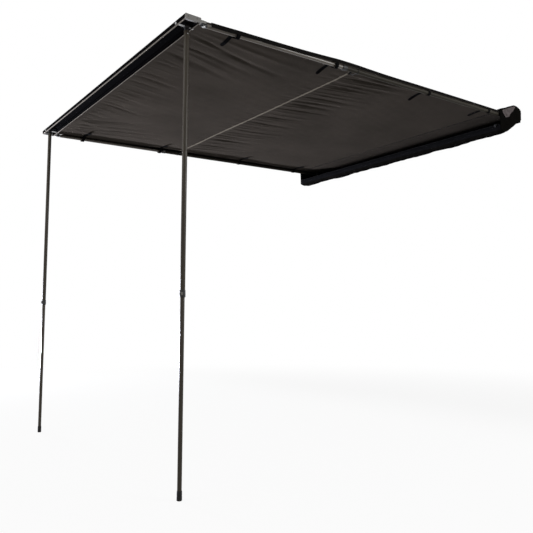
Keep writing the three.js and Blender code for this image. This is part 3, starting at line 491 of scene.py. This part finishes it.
# the strongest folds lie along the near edge, behind the seam's tied end
EDGE_FOLDS = [(0.93, -1.485, 88, 0.6, 16 * MM, 7 * MM), (0.885, -1.485, 85, 0.62, 14 * MM, -6 * MM),
              (0.845, -1.485, 82, 0.56, 13 * MM, 6.5 * MM), (0.79, -1.485, 81, 0.5, 13 * MM, -5.5 * MM),
              (0.745, -1.485, 80, 0.5, 13 * MM, 6 * MM), (0.68, -1.485, 80, 0.42, 12 * MM, -5 * MM)]
# long folds that fan out from the near front corner, and their mirror images at the far one
CORNER_FOLDS = [(0.945, -2.43, 92, 0.85, 20 * MM, 8.5 * MM), (0.9, -2.44, 98, 0.8, 17 * MM, -6.5 * MM),
                (0.866, -2.44, 110, 0.62, 16 * MM, 8.0 * MM), (0.803, -2.43, 101, 0.8, 18 * MM, 8.0 * MM),
                (0.83, -2.44, 106, 0.7, 15 * MM, -6.5 * MM), (0.74, -2.44, 104, 0.6, 16 * MM, 7.0 * MM),
                (0.69, -2.44, 108, 0.5, 15 * MM, -5.5 * MM), (0.64, -2.44, 109, 0.55, 16 * MM, 6.0 * MM)]
CORNER_FOLDS += [(-x + 0.02, y, 180 - heading, 0.9 * length, width, 0.8 * height)
                 for x, y, heading, length, width, height in CORNER_FOLDS]

EDGE_RISE = 7 * MM                                    # the free edges stand higher than the middle
SEAM_LIFT = 7 * MM                                    # and higher again beside the seam
SEAM_LIFT_Y, SEAM_LIFT_REACH = SEAM_Y - 100 * MM, 200 * MM
MEAN_LIFT = 1.5 * MM                                  # the wrinkled cloth stands a little over its slope
BILLOW = 4.5 * MM                                     # soft billows behind the beam
BILLOW_PITCH, BILLOW_SHIFT = 290 * MM, 97 * MM
BILLOW_START, BILLOW_REACH = 105 * MM, 420 * MM

GROOVE_DEPTH = 5 * MM                                 # how far the cloth runs into the rail and the beam
CANOPY_COLUMNS, CANOPY_ROWS = 340, 140
EDGE_STEPS = np.array([0, 1, 3, 8, 16, 24, 32]) * MM  # finer columns along each side edge
EDGE_WIDTH = 40 * MM
TAPE_STEPS = np.array([-6.5, -3, 0, 3, 6.5]) * MM     # across the seam
TAPE_ENDS = (-CLOTH_HALF + 2 * MM, CLOTH_HALF - 76 * MM)    # the near end stops in the tie's patch
BEADS = (("rail_bead", -10.8 * MM, -5 * MM, "rail_and_bag"), ("beam_bead", -2459.2 * MM, -84 * MM, "beam"))


def cloth_height(x, y):
    """Height of the stretched cloth: its slope, the lift of its free edges and its wrinkles."""
    s = np.clip((CLOTH_RAIL.y - y) / (CLOTH_RAIL.y - CLOTH_BEAM.y), 0, 1)
    from_beam = np.maximum(y - CLOTH_BEAM.y, 0)
    held = np.sin(math.pi * s) ** 0.4                       # nothing moves in the grooves
    across = np.minimum(np.abs(x) / CLOTH_HALF, 1)
    height = CLOTH_RAIL.z + (CLOTH_BEAM.z - CLOTH_RAIL.z) * s + across ** 6 * EDGE_RISE * np.sin(math.pi * s)
    height = height + across ** 16 * SEAM_LIFT * np.exp(-((y - SEAM_LIFT_Y) / SEAM_LIFT_REACH) ** 2)
    billow = 0.5 - 0.5 * np.cos(2 * math.pi * (x + s * BILLOW_SHIFT) / BILLOW_PITCH)
    billow = billow * BILLOW * np.exp(-from_beam / BILLOW_REACH) * np.minimum(1, from_beam / BILLOW_START)
    ripples = waves(x, y, SOFT_SWELLS) + waves(x, y, FINE_CREASES)
    for table in (BEAM_FOLDS, EDGE_FOLDS, SEAM_FOLDS, SEAM_PUCKERS, CORNER_FOLDS):
        ripples = ripples + creases(x, y, table)
    return height + (1 - across ** 8) * billow + held * (1 - across ** 12) * (ripples + MEAN_LIFT)


def cloth_at(x, y):
    """The cloth's height at one point."""
    return float(cloth_height(np.array(x), np.array(y)))


def build_canopy():
    """The stretched cloth with its grooved beads, its taped seam and its bound side hems."""
    middle = np.linspace(-CLOTH_HALF + EDGE_WIDTH, CLOTH_HALF - EDGE_WIDTH, CANOPY_COLUMNS)
    xs = np.concatenate([-CLOTH_HALF + EDGE_STEPS, middle, (CLOTH_HALF - EDGE_STEPS)[::-1]])
    ys = np.linspace(RAIL[0].y + GROOVE_DEPTH, BEAM[1].y - GROOVE_DEPTH, CANOPY_ROWS)
    x, y = np.meshgrid(xs, ys, indexing="ij")
    grid = np.stack([x, y, cloth_height(x, y)], axis=2)
    canopy = cloth_piece("canopy_cloth", grid, 0.8 * MM, CANOPY_CLOTH)
    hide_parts("canopy")

    x, y = np.meshgrid(np.linspace(*TAPE_ENDS, 300), SEAM_Y + TAPE_STEPS, indexing="ij")
    grid = np.stack([x, y, cloth_height(x, y) - 0.9 * MM], axis=2)
    extras = [cloth_piece("seam_tape", grid, 0.5 * MM, SEAM_TAPE)]
    extras += [build_hem(side, word) for side, word in SIDES]
    for part in (canopy, *extras):
        with_beam(part)

    for name, y, z, body in BEADS:
        path = [(u, y, z) for u in np.linspace(-CLOTH_HALF, CLOTH_HALF, 40)]
        cord_piece(name, path, 3 * MM, 14, HEM_CLOTH, body)


HEM_ENDS = (-94.6 * MM, -2399.4 * MM)                 # towards the rail and towards the beam
HEM_DROPS = (10 * MM, 20 * MM)                        # how far the flap hangs at each end
HEM_X = np.array([978, 984, 990, 994, 995.7]) * MM    # the fold's section: places along X
HEM_RISE = np.array([1.1, 1.1, 1.1, 0.9, 0.2]) * MM   # and heights over the cloth's edge
FLAP_COLUMNS = 6                                      # points down the hanging flap
FLAP_TOP = 1.2 * MM                                   # how far below the cloth the flap starts
# How far each point of the section gives way to a wide strap loop, and where along the hem
HEM_GIVES = np.array([0, 0, 0, 0, 0.3, 0.7, 1, 1, 1, 1, 1])
HEM_PUSH, PUSH_REACH, PUSH_RAMP = 3.4 * MM, 60 * MM, 45 * MM
WIDE_STRAPS = (1, 2)                                  # the rafter's collar slides through these straps


def build_hem(side, word):
    """A side hem folded over the cloth's edge; its bound flap hangs down outside the rafter, deeper
    towards the beam, and ripples a little between the straps."""
    ys = np.linspace(*HEM_ENDS, 420)
    drop = np.interp(ys, HEM_ENDS[::-1], HEM_DROPS[::-1])
    ripple = waves(np.array(side * 1.0), ys, random_waves(6, 0.45 * MM, (0.09, 0.3), (70, 110)))
    pushed = np.zeros(len(ys))
    for index in WIDE_STRAPS:
        strap_low, strap_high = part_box(f"edge_strap_{word}_{index}")
        off = np.abs(ys - (strap_low.y + strap_high.y) / 2)
        pushed += HEM_PUSH * np.clip((PUSH_REACH - off) / PUSH_RAMP, 0, 1) ** 1.5
    hang = np.linspace(0, 1, FLAP_COLUMNS)
    grid = np.zeros((len(ys), len(HEM_GIVES), 3))
    for i, (y, low, sway) in enumerate(zip(ys, drop, ripple)):
        flap_x = HEM_OUT - 0.6 * MM + hang * (abs(sway) + 0.2 * MM)
        flap_fall = -FLAP_TOP - hang * (low - FLAP_TOP + sway)
        grid[i, :, 0] = side * (np.concatenate([HEM_X, flap_x]) + pushed[i] * HEM_GIVES)
        grid[i, :, 1] = y
        grid[i, :, 2] = cloth_at(side * CLOTH_HALF, y) + np.concatenate([HEM_RISE, flap_fall])
    return cloth_piece(f"side_hem_{word}", grid, 1.0 * MM, HEM_CLOTH)


def with_beam(cloth):
    """Gives a cloth piece a mesh of its own."""
    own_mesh(cloth)


# The straps

STRAP_HALF = 10 * MM
LOOP_SAG = 1.8 * MM                                   # a narrow loop sags under its tube
SEWN_IN = 12.5 * MM                                   # a narrow strap starts this far inside the rafter
LOOP_START, WIDE_LOOP_START, LOOP_END = 100, 50, -118  # degrees round the rafter, 0 on its outer side
TURN_IN, WIDE_TURN_IN = 7 * MM, 9 * MM                # from the loop to where the strap turns inwards
STRAP_POINTS, TAIL_START = 72, 44                     # the points after the second number are the tail's
TAIL_FROM = 0.955                                     # no tail starts further out than this
TAIL = ((0.935, 0.04), (0.905, 0.16), (0.875, 0.45), (0.852, 0.8), (0.838, 1.0))  # x and share of the droop
TAIL_DROOPS = {("right", 1): 7, ("right", 2): 15, ("right", 3): 15, ("right", 4): 9,
               ("left", 1): 8, ("left", 2): 12, ("left", 3): 10, ("left", 4): 8}      # mm, at the tips
TIP_TAPER = 5 * MM                                    # each side of the tip is cut back this much
CURL, CURL_X, CURL_RUN = 1.6 * MM, 0.93, 0.09         # the tail's sides curl down from CURL_X inwards


def rafter_z(y):
    """Height of the rafters' middle line at y."""
    return float(np.interp(y, [RAFTER_LOW.y, RAFTER_TOP.y], [RAFTER_LOW.z, RAFTER_TOP.z]))


def tube_radius(y, word):
    """Radius of the rafter at y: its wide outer tube towards the rail, its slim one towards the beam."""
    return OUTER_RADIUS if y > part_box(f"rafter_outer_tube_{word}")[0].y else INNER_RADIUS


def loop_radius(y, word, wide):
    """Radius of a strap's loop. A wide one lets the rafter's collar pass as the beam slides in."""
    if not wide:
        return tube_radius(y, word) + 0.9 * MM
    low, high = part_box(f"rafter_collar_{word}")
    return (high.x - low.x) / 2 + 1.2 * MM


def strap_path(side, word, index, y):
    """The strap's route in its own plane, as (x, z) without the side's sign: from the hem, round the
    rafter and along the cloth's underside to the tip of its tail."""
    z = rafter_z(y)
    wide = index in WIDE_STRAPS
    radius = loop_radius(y, word, wide)
    path = [] if wide else [(RAFTER_X - SEWN_IN, z + radius * 0.98)]
    for angle in np.linspace(WIDE_LOOP_START if wide else LOOP_START, LOOP_END, 14):
        turn = math.radians(angle)
        sag = 0 if wide or angle > 0 else LOOP_SAG * math.sin(-turn)
        path.append((RAFTER_X + radius * math.cos(turn), z + radius * math.sin(turn) - sag))
    turn_x = RAFTER_X - radius - (WIDE_TURN_IN if wide else TURN_IN)
    under = cloth_at(side * 0.95, y) - 6.6 * MM
    path.append((turn_x, z - 2 * MM if wide else min(z + 2 * MM, under)))
    droop = TAIL_DROOPS[word, index] * MM
    for x, share in ((min(TAIL_FROM, turn_x - 6 * MM), 0.1), *TAIL):
        path.append((x, cloth_at(side * x, y) - 1.7 * MM - share * droop))
    return spline(path, STRAP_POINTS)


def build_strap(side, word, index):
    """A webbing strap that is sewn to the hem, goes round the rafter and leaves a loose tail."""
    node = f"edge_strap_{word}_{index}"
    low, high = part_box(node)
    y = (low.y + high.y) / 2
    line = strap_path(side, word, index, y)
    skew = rng.uniform(-0.04, 0.05)
    shares = np.linspace(-1, 1, 7)
    grid = np.zeros((len(line), len(shares), 3))
    for i, (px, pz) in enumerate(line):
        inset = max(0, TIP_TAPER - 0.5 * abs(px - line[-1][0])) if i > TAIL_START else 0
        lean = skew * (RAFTER_X - px) if px < RAFTER_X - 20 * MM else 0
        curl = CURL * max(0, (CURL_X - px) / CURL_RUN)
        grid[i, :, 0] = side * px
        grid[i, :, 1] = y + lean + shares * (STRAP_HALF - inset)
        grid[i, :, 2] = pz + (grid[i, :, 1] - y) * SLOPE_AXIS.z / SLOPE_AXIS.y - curl * shares * abs(shares)
    strap = cloth_piece(f"strap_{word}_{index}", grid, 1.2 * MM, WEBBING)
    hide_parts(node)
    with_beam(strap)


TIE_Y = SEAM_Y - 14 * MM                              # where its loop goes round the rafter
TIE_X = 0.912                                         # where its cord leaves the patch
TIE_LOOP = (205, 520)                                 # degrees from start to end of the loop
TIE_ADVANCE = 5 * MM                                  # the loop moves on this far along the rafter
PATCH_X, PATCH_Y = (0.896, 0.922), (SEAM_Y - 4 * MM, SEAM_Y + 12 * MM)


def build_seam_tie(side, word):
    """The tie at a seam's end: a sewn patch, and a thin cord from it to a loop round the rafter."""
    xs, ys = np.meshgrid(side * np.linspace(*PATCH_X, 8), np.linspace(*PATCH_Y, 6), indexing="ij")
    grid = np.stack([xs, ys, cloth_height(xs, ys) - 1.8 * MM], axis=2)
    patch = cloth_piece(f"seam_patch_{word}", grid, 0.8 * MM, HEM_CLOTH)
    z = rafter_z(TIE_Y)
    radius = tube_radius(TIE_Y, word) + 1.4 * MM
    path = [(side * TIE_X, SEAM_Y + 2 * MM, cloth_at(side * TIE_X, SEAM_Y) - 3 * MM),
            (side * 0.94, SEAM_Y - 6 * MM, z - 2 * MM)]
    start, end = TIE_LOOP
    for angle in np.linspace(start, end, 22):
        turn = math.radians(angle)
        path.append((side * (RAFTER_X + radius * math.cos(turn)),
                     TIE_Y - TIE_ADVANCE * (angle - start) / (end - start), z + radius * math.sin(turn)))
    cord = cord_piece(f"seam_cord_{word}", spline(path, 70), 1.3 * MM, 8, BRAID)
    with_beam(patch)
    with_beam(cord)


# The bag

# Sections of the two flaps, as (y, z) in millimetres from the rail outwards
TOP_LINE = [(-5.2, 42), (-12, 52), (-56, 60), (-150, 33), (-238, -7)]
LOW_LINE = [(-5.2, -42), (-22, -58), (-115, -117), (-190, -146), (-228, -140), (-240, -122), (-240, -106)]
# The same at the bag's ends, where the slack end panels draw it in
END_TOP = [(0, 34), (-20, 47), (-72, 57), (-150, 31), (-242, -6)]
END_LOW = [(0, -24), (-33, -42), (-115, -98), (-190, -139), (-236, -132)]
FLAP_END_TOP = [(-5.2, 34), *END_TOP[1:-1], (-236, -8)]
FLAP_END_LOW = [(-5.2, -26), *END_LOW[1:], (-239, -120), (-240, -106)]
TOP_WAVES = random_waves(6, 1.3 * MM, (0.22, 0.7), (0, 25))
LOW_WAVES = random_waves(6, 1.8 * MM, (0.2, 0.6), (0, 25))
BAG_CREASES = random_waves(8, 0.5 * MM, (0.05, 0.12), (20, 160))
END_REACH = 0.14                                      # the ends draw in over this length, in metres
PANEL_X = BAG_HALF + 1.4 * MM                         # the end panels' plane
ROOT_Y = -5.2 * MM                                    # the flaps hang from the rail here
ROOT_HEIGHTS = np.array([34.8, 39, 43]) * MM          # from the bead's middle to the flap, up and down


def flap_grid(points, end_points, table, columns=240, rows=44):
    """A hanging flap: a bent line pushed along the rail, with sags and creases away from its root. Its ends
    draw in to the lines that the bag's end panels are sewn along."""
    line = spline([(a * MM, b * MM) for a, b in points], rows)
    end_line = spline([(a * MM, b * MM) for a, b in end_points], rows)
    along = np.gradient(line, axis=0)
    along /= np.linalg.norm(along, axis=1, keepdims=True)
    normal = np.stack([-along[:, 1], along[:, 0]], axis=1)
    x, s = np.meshgrid(np.linspace(-BAG_HALF, BAG_HALF, columns), np.linspace(0, 1, rows), indexing="ij")
    run = s * np.linalg.norm(np.diff(line, axis=0), axis=1).sum()
    free = np.minimum(1, s * 4) * np.minimum(1, (BAG_HALF - np.abs(x)) / 0.03)
    free *= np.minimum(1, (1 - s) / 0.12)                   # the zip keeps the free edge straight
    lift = free * (waves(x, run, table) + waves(x, run, BAG_CREASES))
    drawn_in = np.clip((np.abs(x) - BAG_HALF + END_REACH) / END_REACH, 0, 1) ** 2
    y, z = (line[:, k] + normal[:, k] * lift + drawn_in * (end_line[:, k] - line[:, k]) for k in (0, 1))
    return np.stack([x, y, z], axis=2)


def build_bag():
    """The open travel bag: two vinyl flaps, piped ends and the zip that closes them."""
    top_grid = flap_grid(TOP_LINE, FLAP_END_TOP, TOP_WAVES)
    low_grid = flap_grid(LOW_LINE, FLAP_END_LOW, LOW_WAVES)
    top = cloth_piece("bag_top_vinyl", top_grid, 1.6 * MM, VINYL)
    low = cloth_piece("bag_low_vinyl", low_grid, 1.6 * MM, VINYL)
    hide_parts("bag_top_flap")
    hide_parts("bag_lower_flap")
    for name, grid in (("bag_top_hem", top_grid), ("bag_low_hem", low_grid)):
        strip = grid[:, -5:, :] - np.array([0, 1.6 * MM, 0])
        cloth_piece(name, strip, 1.2 * MM, WEBBING)
    xs = np.linspace(-BAG_HALF, BAG_HALF, 30)
    for up, name in ((1, "bag_bead_upper"), (-1, "bag_bead_lower")):
        path = [(u, ROOT_Y, up * ROOT_HEIGHTS[0]) for u in xs]
        cord_piece(name, path, 3 * MM, 12, VINYL)
        x, z = np.meshgrid(xs, up * ROOT_HEIGHTS, indexing="ij")
        web = np.stack([x, np.full(x.shape, ROOT_Y), z], axis=2)
        cloth_piece(name + "_web", web, 1.6 * MM, VINYL)
    build_zip(top_grid)
    for side, word in SIDES:
        build_bag_end(side, word)


ZIP_LOW = (-240 * MM, -97 * MM)                       # the lower row of teeth, as (y, z)
ZIP_PITCH = 4 * MM
ZIP_TOOTH = (2.4 * MM, 3.2 * MM, 3.4 * MM)            # across, out and up
ZIP_TAPE = np.array([0, -3, -6, -9]) * MM             # from the teeth over the hem


def build_zip(top_grid):
    """Coil teeth along both hems, on a woven tape."""
    hem_y, hem_z = top_grid[0, -1, 1:]
    for name, (y, z), down in (("zip_teeth_low", ZIP_LOW, 1),
                               ("zip_teeth_top", (hem_y - 2 * MM, hem_z - 5 * MM), -1)):
        shape = bmesh.new()
        for x in np.arange(-0.99, 0.99, ZIP_PITCH):
            spot = Matrix.Translation((x, y, z)) @ Matrix.Diagonal((*ZIP_TOOTH, 1))
            bmesh.ops.create_icosphere(shape, subdivisions=1, radius=0.5, matrix=spot)
        piece(name, finished(name, shape), ZIP_COIL, "rail_and_bag")
        along, across = np.meshgrid(np.linspace(-0.995, 0.995, 80), z + down * ZIP_TAPE, indexing="ij")
        tape = np.stack([along, np.full(along.shape, y), across], axis=2)
        cloth_piece(name + "_tape", tape, 0.8 * MM, WEBBING)


END_POINTS, END_ROWS = 64, 60                         # along and up an end panel
# The pale sheet of painted light on each end: its ragged lower line at some points along the panel, and its
# other limits
LIT_PATCH_AT = (20, 27, 33, 41, 50, 58)
LIT_PATCH_LOW = (0.9, 0.73, 0.69, 0.57, 0.6, 0.86)
LIT_PATCH_TOP, LIT_PATCH_ROWS, LIT_PATCH_COLUMNS = 0.955, 34, slice(20, 59)
LIT_PATCH_STAND, LIT_PATCH_DEPTH = 2.4 * MM, 1.1
MEAN_SINE = 0.64                                      # the mean of a sine without its sign


def crumpled(low, top, v, side, stand=0.0, depth=1.0):
    """Points of a slack, creased end panel; v runs from its low line to its top line, stand is how far
    the cloth lies outside the panel, and depth makes its creases shallower or deeper."""
    y = low[None, :, 0] * (1 - v) + top[None, :, 0] * v
    z = low[None, :, 1] * (1 - v) + top[None, :, 1] * v
    local = np.random.default_rng(11 + side)
    ridges = np.zeros(y.shape)
    for _ in range(9):
        turn, length, phase = local.uniform(0, math.pi), local.uniform(0.06, 0.2), local.uniform(0, 6.28)
        ripple = np.sin(2 * math.pi * (y * math.cos(turn) + z * math.sin(turn)) / length + phase)
        ridges += local.uniform(0.8, 2.0) * MM * (MEAN_SINE - np.abs(ripple)) * 2
    across = np.linspace(0.02, 0.98, y.shape[1])[None, :]
    slack = (np.sin(math.pi * v) * np.sin(math.pi * across)) ** 0.6
    x = side * (PANEL_X + stand + slack * np.maximum(3 * MM + 5 * MM * v + ridges * depth, 0))
    return np.stack([x, y, z], axis=2)


def build_bag_end(side, word):
    """An end panel of the bag: slack vinyl between the two flaps, piped round its edge, with a pale crumpled
    sheet over its upper part as painted light."""
    top = spline([(a * MM, b * MM) for a, b in END_TOP], END_POINTS)
    low = spline([(a * MM, b * MM) for a, b in END_LOW], END_POINTS)
    v = np.repeat(np.linspace(0, 1, END_ROWS)[:, None], END_POINTS, axis=1)
    panel = cloth_piece(f"bag_end_vinyl_{word}", crumpled(low, top, v, side), 1.2 * MM, VINYL)
    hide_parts(f"bag_end_{word}")
    # painted light: a pale crumpled sheet over the upper part of each end, mottled dark as painted shade
    ragged = np.interp(np.arange(END_POINTS), LIT_PATCH_AT, LIT_PATCH_LOW)
    share = np.linspace(0, 1, LIT_PATCH_ROWS)[:, None]
    lit_patch_v = ragged[None, :] * (1 - share) + LIT_PATCH_TOP * share
    lit_patch = crumpled(low, top, lit_patch_v, side, LIT_PATCH_STAND, LIT_PATCH_DEPTH)[:, LIT_PATCH_COLUMNS]
    cloth_piece(f"bag_end_lit_patch_{word}", lit_patch, 1.0 * MM, LIT_PATCH_VINYL)
    rim = np.concatenate([low, top[::-1]])
    path = np.stack([np.full(len(rim), side * PANEL_X), rim[:, 0], rim[:, 1]], axis=1)
    cord_piece(f"bag_piping_{word}", path, 2.2 * MM, 8, VINYL)


# The small fasteners

SEATED = 0.1 * MM                                     # a rivet sits this far in the round of its tube
# Rivets stand this far from the leg knuckle's lower end, the rafter's pivot and the rafter's low end
KNUCKLE_RIVET, ROOT_RIVET, HOOK_RIVET = 16 * MM, 40 * MM, 32 * MM
CAP_SCREWS = (14 * MM, 56 * MM)                       # across the beam, from its outer face
CAP_SCREW_RISE = 12 * MM


def dome(name, centre, facing, radius, body, slot="bright_steel"):
    """A rivet or screw head that stands on a surface."""
    shape = bmesh.new()
    bmesh.ops.create_uvsphere(shape, u_segments=20, v_segments=10, radius=radius)
    for vertex in shape.verts:
        vertex.co.z *= 0.42
    turn = Vector((0, 0, 1)).rotation_difference(Vector(facing)).to_matrix().to_4x4()
    shape.transform(Matrix.Translation(centre) @ turn)
    return piece(name, finished(name, shape), FINISHES[slot], body)


def build_fasteners():
    """Rivets that hold the moulded ends in the tubes, and the screws of the beam's caps."""
    for side, word in SIDES:
        outwards = (side, 0, 0)
        low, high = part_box(f"leg_knuckle_{word}")
        x, y = (low.x + high.x) / 2 + side * (OUTER_RADIUS - SEATED), (low.y + high.y) / 2
        dome(f"leg_rivet_{word}", (x, y, low.z + KNUCKLE_RIVET), outwards, 2.4 * MM, f"leg_{word}")
        pivot_y = RAFTER_PIVOT_Y[word]
        root = Vector((side * (RAFTER_X + OUTER_RADIUS - SEATED), pivot_y, rafter_z(pivot_y)))
        root -= SLOPE_AXIS * ROOT_RIVET
        dome(f"rafter_rivet_root_{word}", root, outwards, 2.4 * MM, f"rafter_{word}")
        end = Vector((side * (RAFTER_X + INNER_RADIUS - SEATED), RAFTER_LOW.y, RAFTER_LOW.z))
        end += SLOPE_AXIS * HOOK_RIVET
        dome(f"rafter_rivet_end_{word}", end, outwards, 2.2 * MM, f"rafter_end_{word}")
        for k, inset in enumerate(CAP_SCREWS, 1):
            spot = (side * BAG_HALF, BEAM[0].y + inset, BEAM[0].z + CAP_SCREW_RISE)
            dome(f"cap_screw_{word}_{k}", spot, outwards, 2.6 * MM, "beam", "black_steel")


# The stage

LAMPS = (  # name, place, aim, size across and up in metres, watts, colour
    ("front", (0.3, -7.5, 1.5), (0, -1.6, -0.8), (3.0, 3.0), 190, (1.0, 0.96, 0.9)),
    ("near_side", (5.5, 1.5, 1.0), (0.6, -1.4, -0.4), (2.5, 2.5), 330, (1, 1, 1)),
    ("floor_left", (-6.0, -3.2, -1.75), (0.2, -1.8, -0.06), (1.2, 0.4), 1500, (0.84, 0.87, 1.0)),
)
WHITE = (1, 1, 1, 1)
SKY_STRENGTH = 0.32                                   # the light that the backdrop gives; it is seen as white
FLOOR_HALF = 60
FLOOR_MIDDLE = (0, -1.2, GROUND_Z)
NEAR_RADIUS, FAR_RADIUS = 2.0, 6.5                    # the floor is seen as pale paper, and white beyond
PALE_SHARE = 0.92
# DIM_PAPER is painted shade: the paper behind the rail is darker, so that less light comes up from it
PAPER, DIM_PAPER = "#c4c4c4", "#3c3c3c"
DIM_FROM, DIM_TO = -0.4, 1.0                          # along Y, from before the rail to behind it

# The camera that was fitted to the photograph, in the frame's metres and in radians
PHOTO_WIDTH = 533                                     # pixels
FOCAL_LENGTH = 603.06                                 # pixels
SENSOR = 36                                           # millimetres
CAMERA_PLACE = (3.1448, -3.6921, -1.3516)
YAW, PITCH, ROLL = 0.9336, 0.0868, 0.0036


def seen_share(tree, share):
    """A share for rays that show the stage to the eye, straight or in gloss and glass, and 0 for others."""
    path = add_node(tree, "ShaderNodeLightPath").outputs
    seen = path["Is Camera Ray"]
    for ray in ("Is Glossy Ray", "Is Transmission Ray"):
        seen = add_node(tree, "ShaderNodeMath", {0: seen, 1: path[ray]}, operation="MAXIMUM").outputs[0]
    return add_node(tree, "ShaderNodeMath", {0: seen, 1: share}, operation="MULTIPLY").outputs[0]


def build_floor():
    """A pale paper floor: white far out, so that it meets the white backdrop without a line, and painted
    darker behind the rail as painted shade, so that less light comes up from it."""
    material = bpy.data.materials.new("pale floor")
    tree = emptied_tree(material)
    place = add_node(tree, "ShaderNodeTexCoord").outputs["Object"]
    middle = add_node(tree, "ShaderNodeVectorMath", {0: place, 1: FLOOR_MIDDLE}, operation="DISTANCE")
    away = add_node(tree, "ShaderNodeMapRange", {"Value": middle.outputs["Value"], "From Min": NEAR_RADIUS,
                                                 "From Max": FAR_RADIUS, "To Min": PALE_SHARE, "To Max": 1.0},
                    interpolation_type="SMOOTHSTEP")
    split = add_node(tree, "ShaderNodeSeparateXYZ", {0: place})
    behind = add_node(tree, "ShaderNodeMapRange", {"Value": split.outputs["Y"], "From Min": DIM_FROM,
                                                   "From Max": DIM_TO}, interpolation_type="SMOOTHSTEP")
    shade = add_node(tree, "ShaderNodeMix", {0: behind.outputs[0], 6: linear(PAPER), 7: linear(DIM_PAPER)},
                     data_type="RGBA")
    paper = add_node(tree, "ShaderNodeBsdfDiffuse", {"Color": shade.outputs[2]})
    white = add_node(tree, "ShaderNodeEmission", {"Color": WHITE, "Strength": 1.0})
    both = add_node(tree, "ShaderNodeMixShader", {0: seen_share(tree, away.outputs[0]), 1: paper.outputs[0],
                                                  2: white.outputs[0]})
    add_node(tree, "ShaderNodeOutputMaterial", {"Surface": both.outputs[0]})

    mesh = bpy.data.meshes.new("floor")
    corners = [(a * FLOOR_HALF, b * FLOOR_HALF, GROUND_Z) for a, b in ((-1, -1), (1, -1), (1, 1), (-1, 1))]
    mesh.from_pydata(corners, [], [(0, 1, 2, 3)])
    mesh.materials.append(material)
    floor = bpy.data.objects.new("floor", mesh)
    bpy.context.scene.collection.objects.link(floor)


def build_light():
    """A backdrop that is seen as white but lights the object softly, and three area lamps."""
    world = bpy.data.worlds.new("studio")
    bpy.context.scene.world = world
    tree = emptied_tree(world)
    level = add_node(tree, "ShaderNodeMapRange", {"Value": seen_share(tree, 1.0), "To Min": SKY_STRENGTH,
                                                  "To Max": 1.0})
    sky = add_node(tree, "ShaderNodeBackground", {"Color": WHITE, "Strength": level.outputs[0]})
    add_node(tree, "ShaderNodeOutputWorld", {"Surface": sky.outputs[0]})

    for name, spot, aim, size, power, colour in LAMPS:
        lamp = bpy.data.lights.new(name, "AREA")
        lamp.energy = power
        lamp.color = colour
        lamp.shape = "RECTANGLE"
        lamp.size, lamp.size_y = size
        light = bpy.data.objects.new(name, lamp)
        bpy.context.scene.collection.objects.link(light)
        light.location = spot
        light.rotation_euler = (Vector(aim) - Vector(spot)).to_track_quat("-Z", "Y").to_euler()


def build_camera():
    """The camera at the photograph's place."""
    view = bpy.data.cameras.new("camera")
    view.sensor_fit = "HORIZONTAL"
    view.sensor_width = SENSOR
    view.lens = FOCAL_LENGTH / PHOTO_WIDTH * SENSOR
    view.clip_end = 200
    camera = bpy.data.objects.new("camera", view)
    bpy.context.scene.collection.objects.link(camera)
    ahead = Vector((-math.sin(YAW) * math.cos(PITCH), math.cos(YAW) * math.cos(PITCH), math.sin(PITCH)))
    right = Vector((math.cos(YAW), math.sin(YAW), 0))
    up = right.cross(ahead)
    right, up = math.cos(ROLL) * right + math.sin(ROLL) * up, math.cos(ROLL) * up - math.sin(ROLL) * right
    turn = Matrix((right, up, -ahead)).transposed().to_4x4()
    camera.matrix_world = Matrix.Translation(CAMERA_PLACE) @ turn
    bpy.context.scene.camera = camera
    bpy.context.scene.view_settings.view_transform = "Standard"


build_floor()
build_light()
build_camera()
for part in frame["record"]["subparts"]:
    if part["material_slot"] not in SOFT_SLOTS:
        eased(part["node"])
build_canopy()
for side, word in SIDES:
    for index in (1, 2, 3, 4):
        build_strap(side, word, index)
    build_seam_tie(side, word)
build_bag()
build_fasteners()
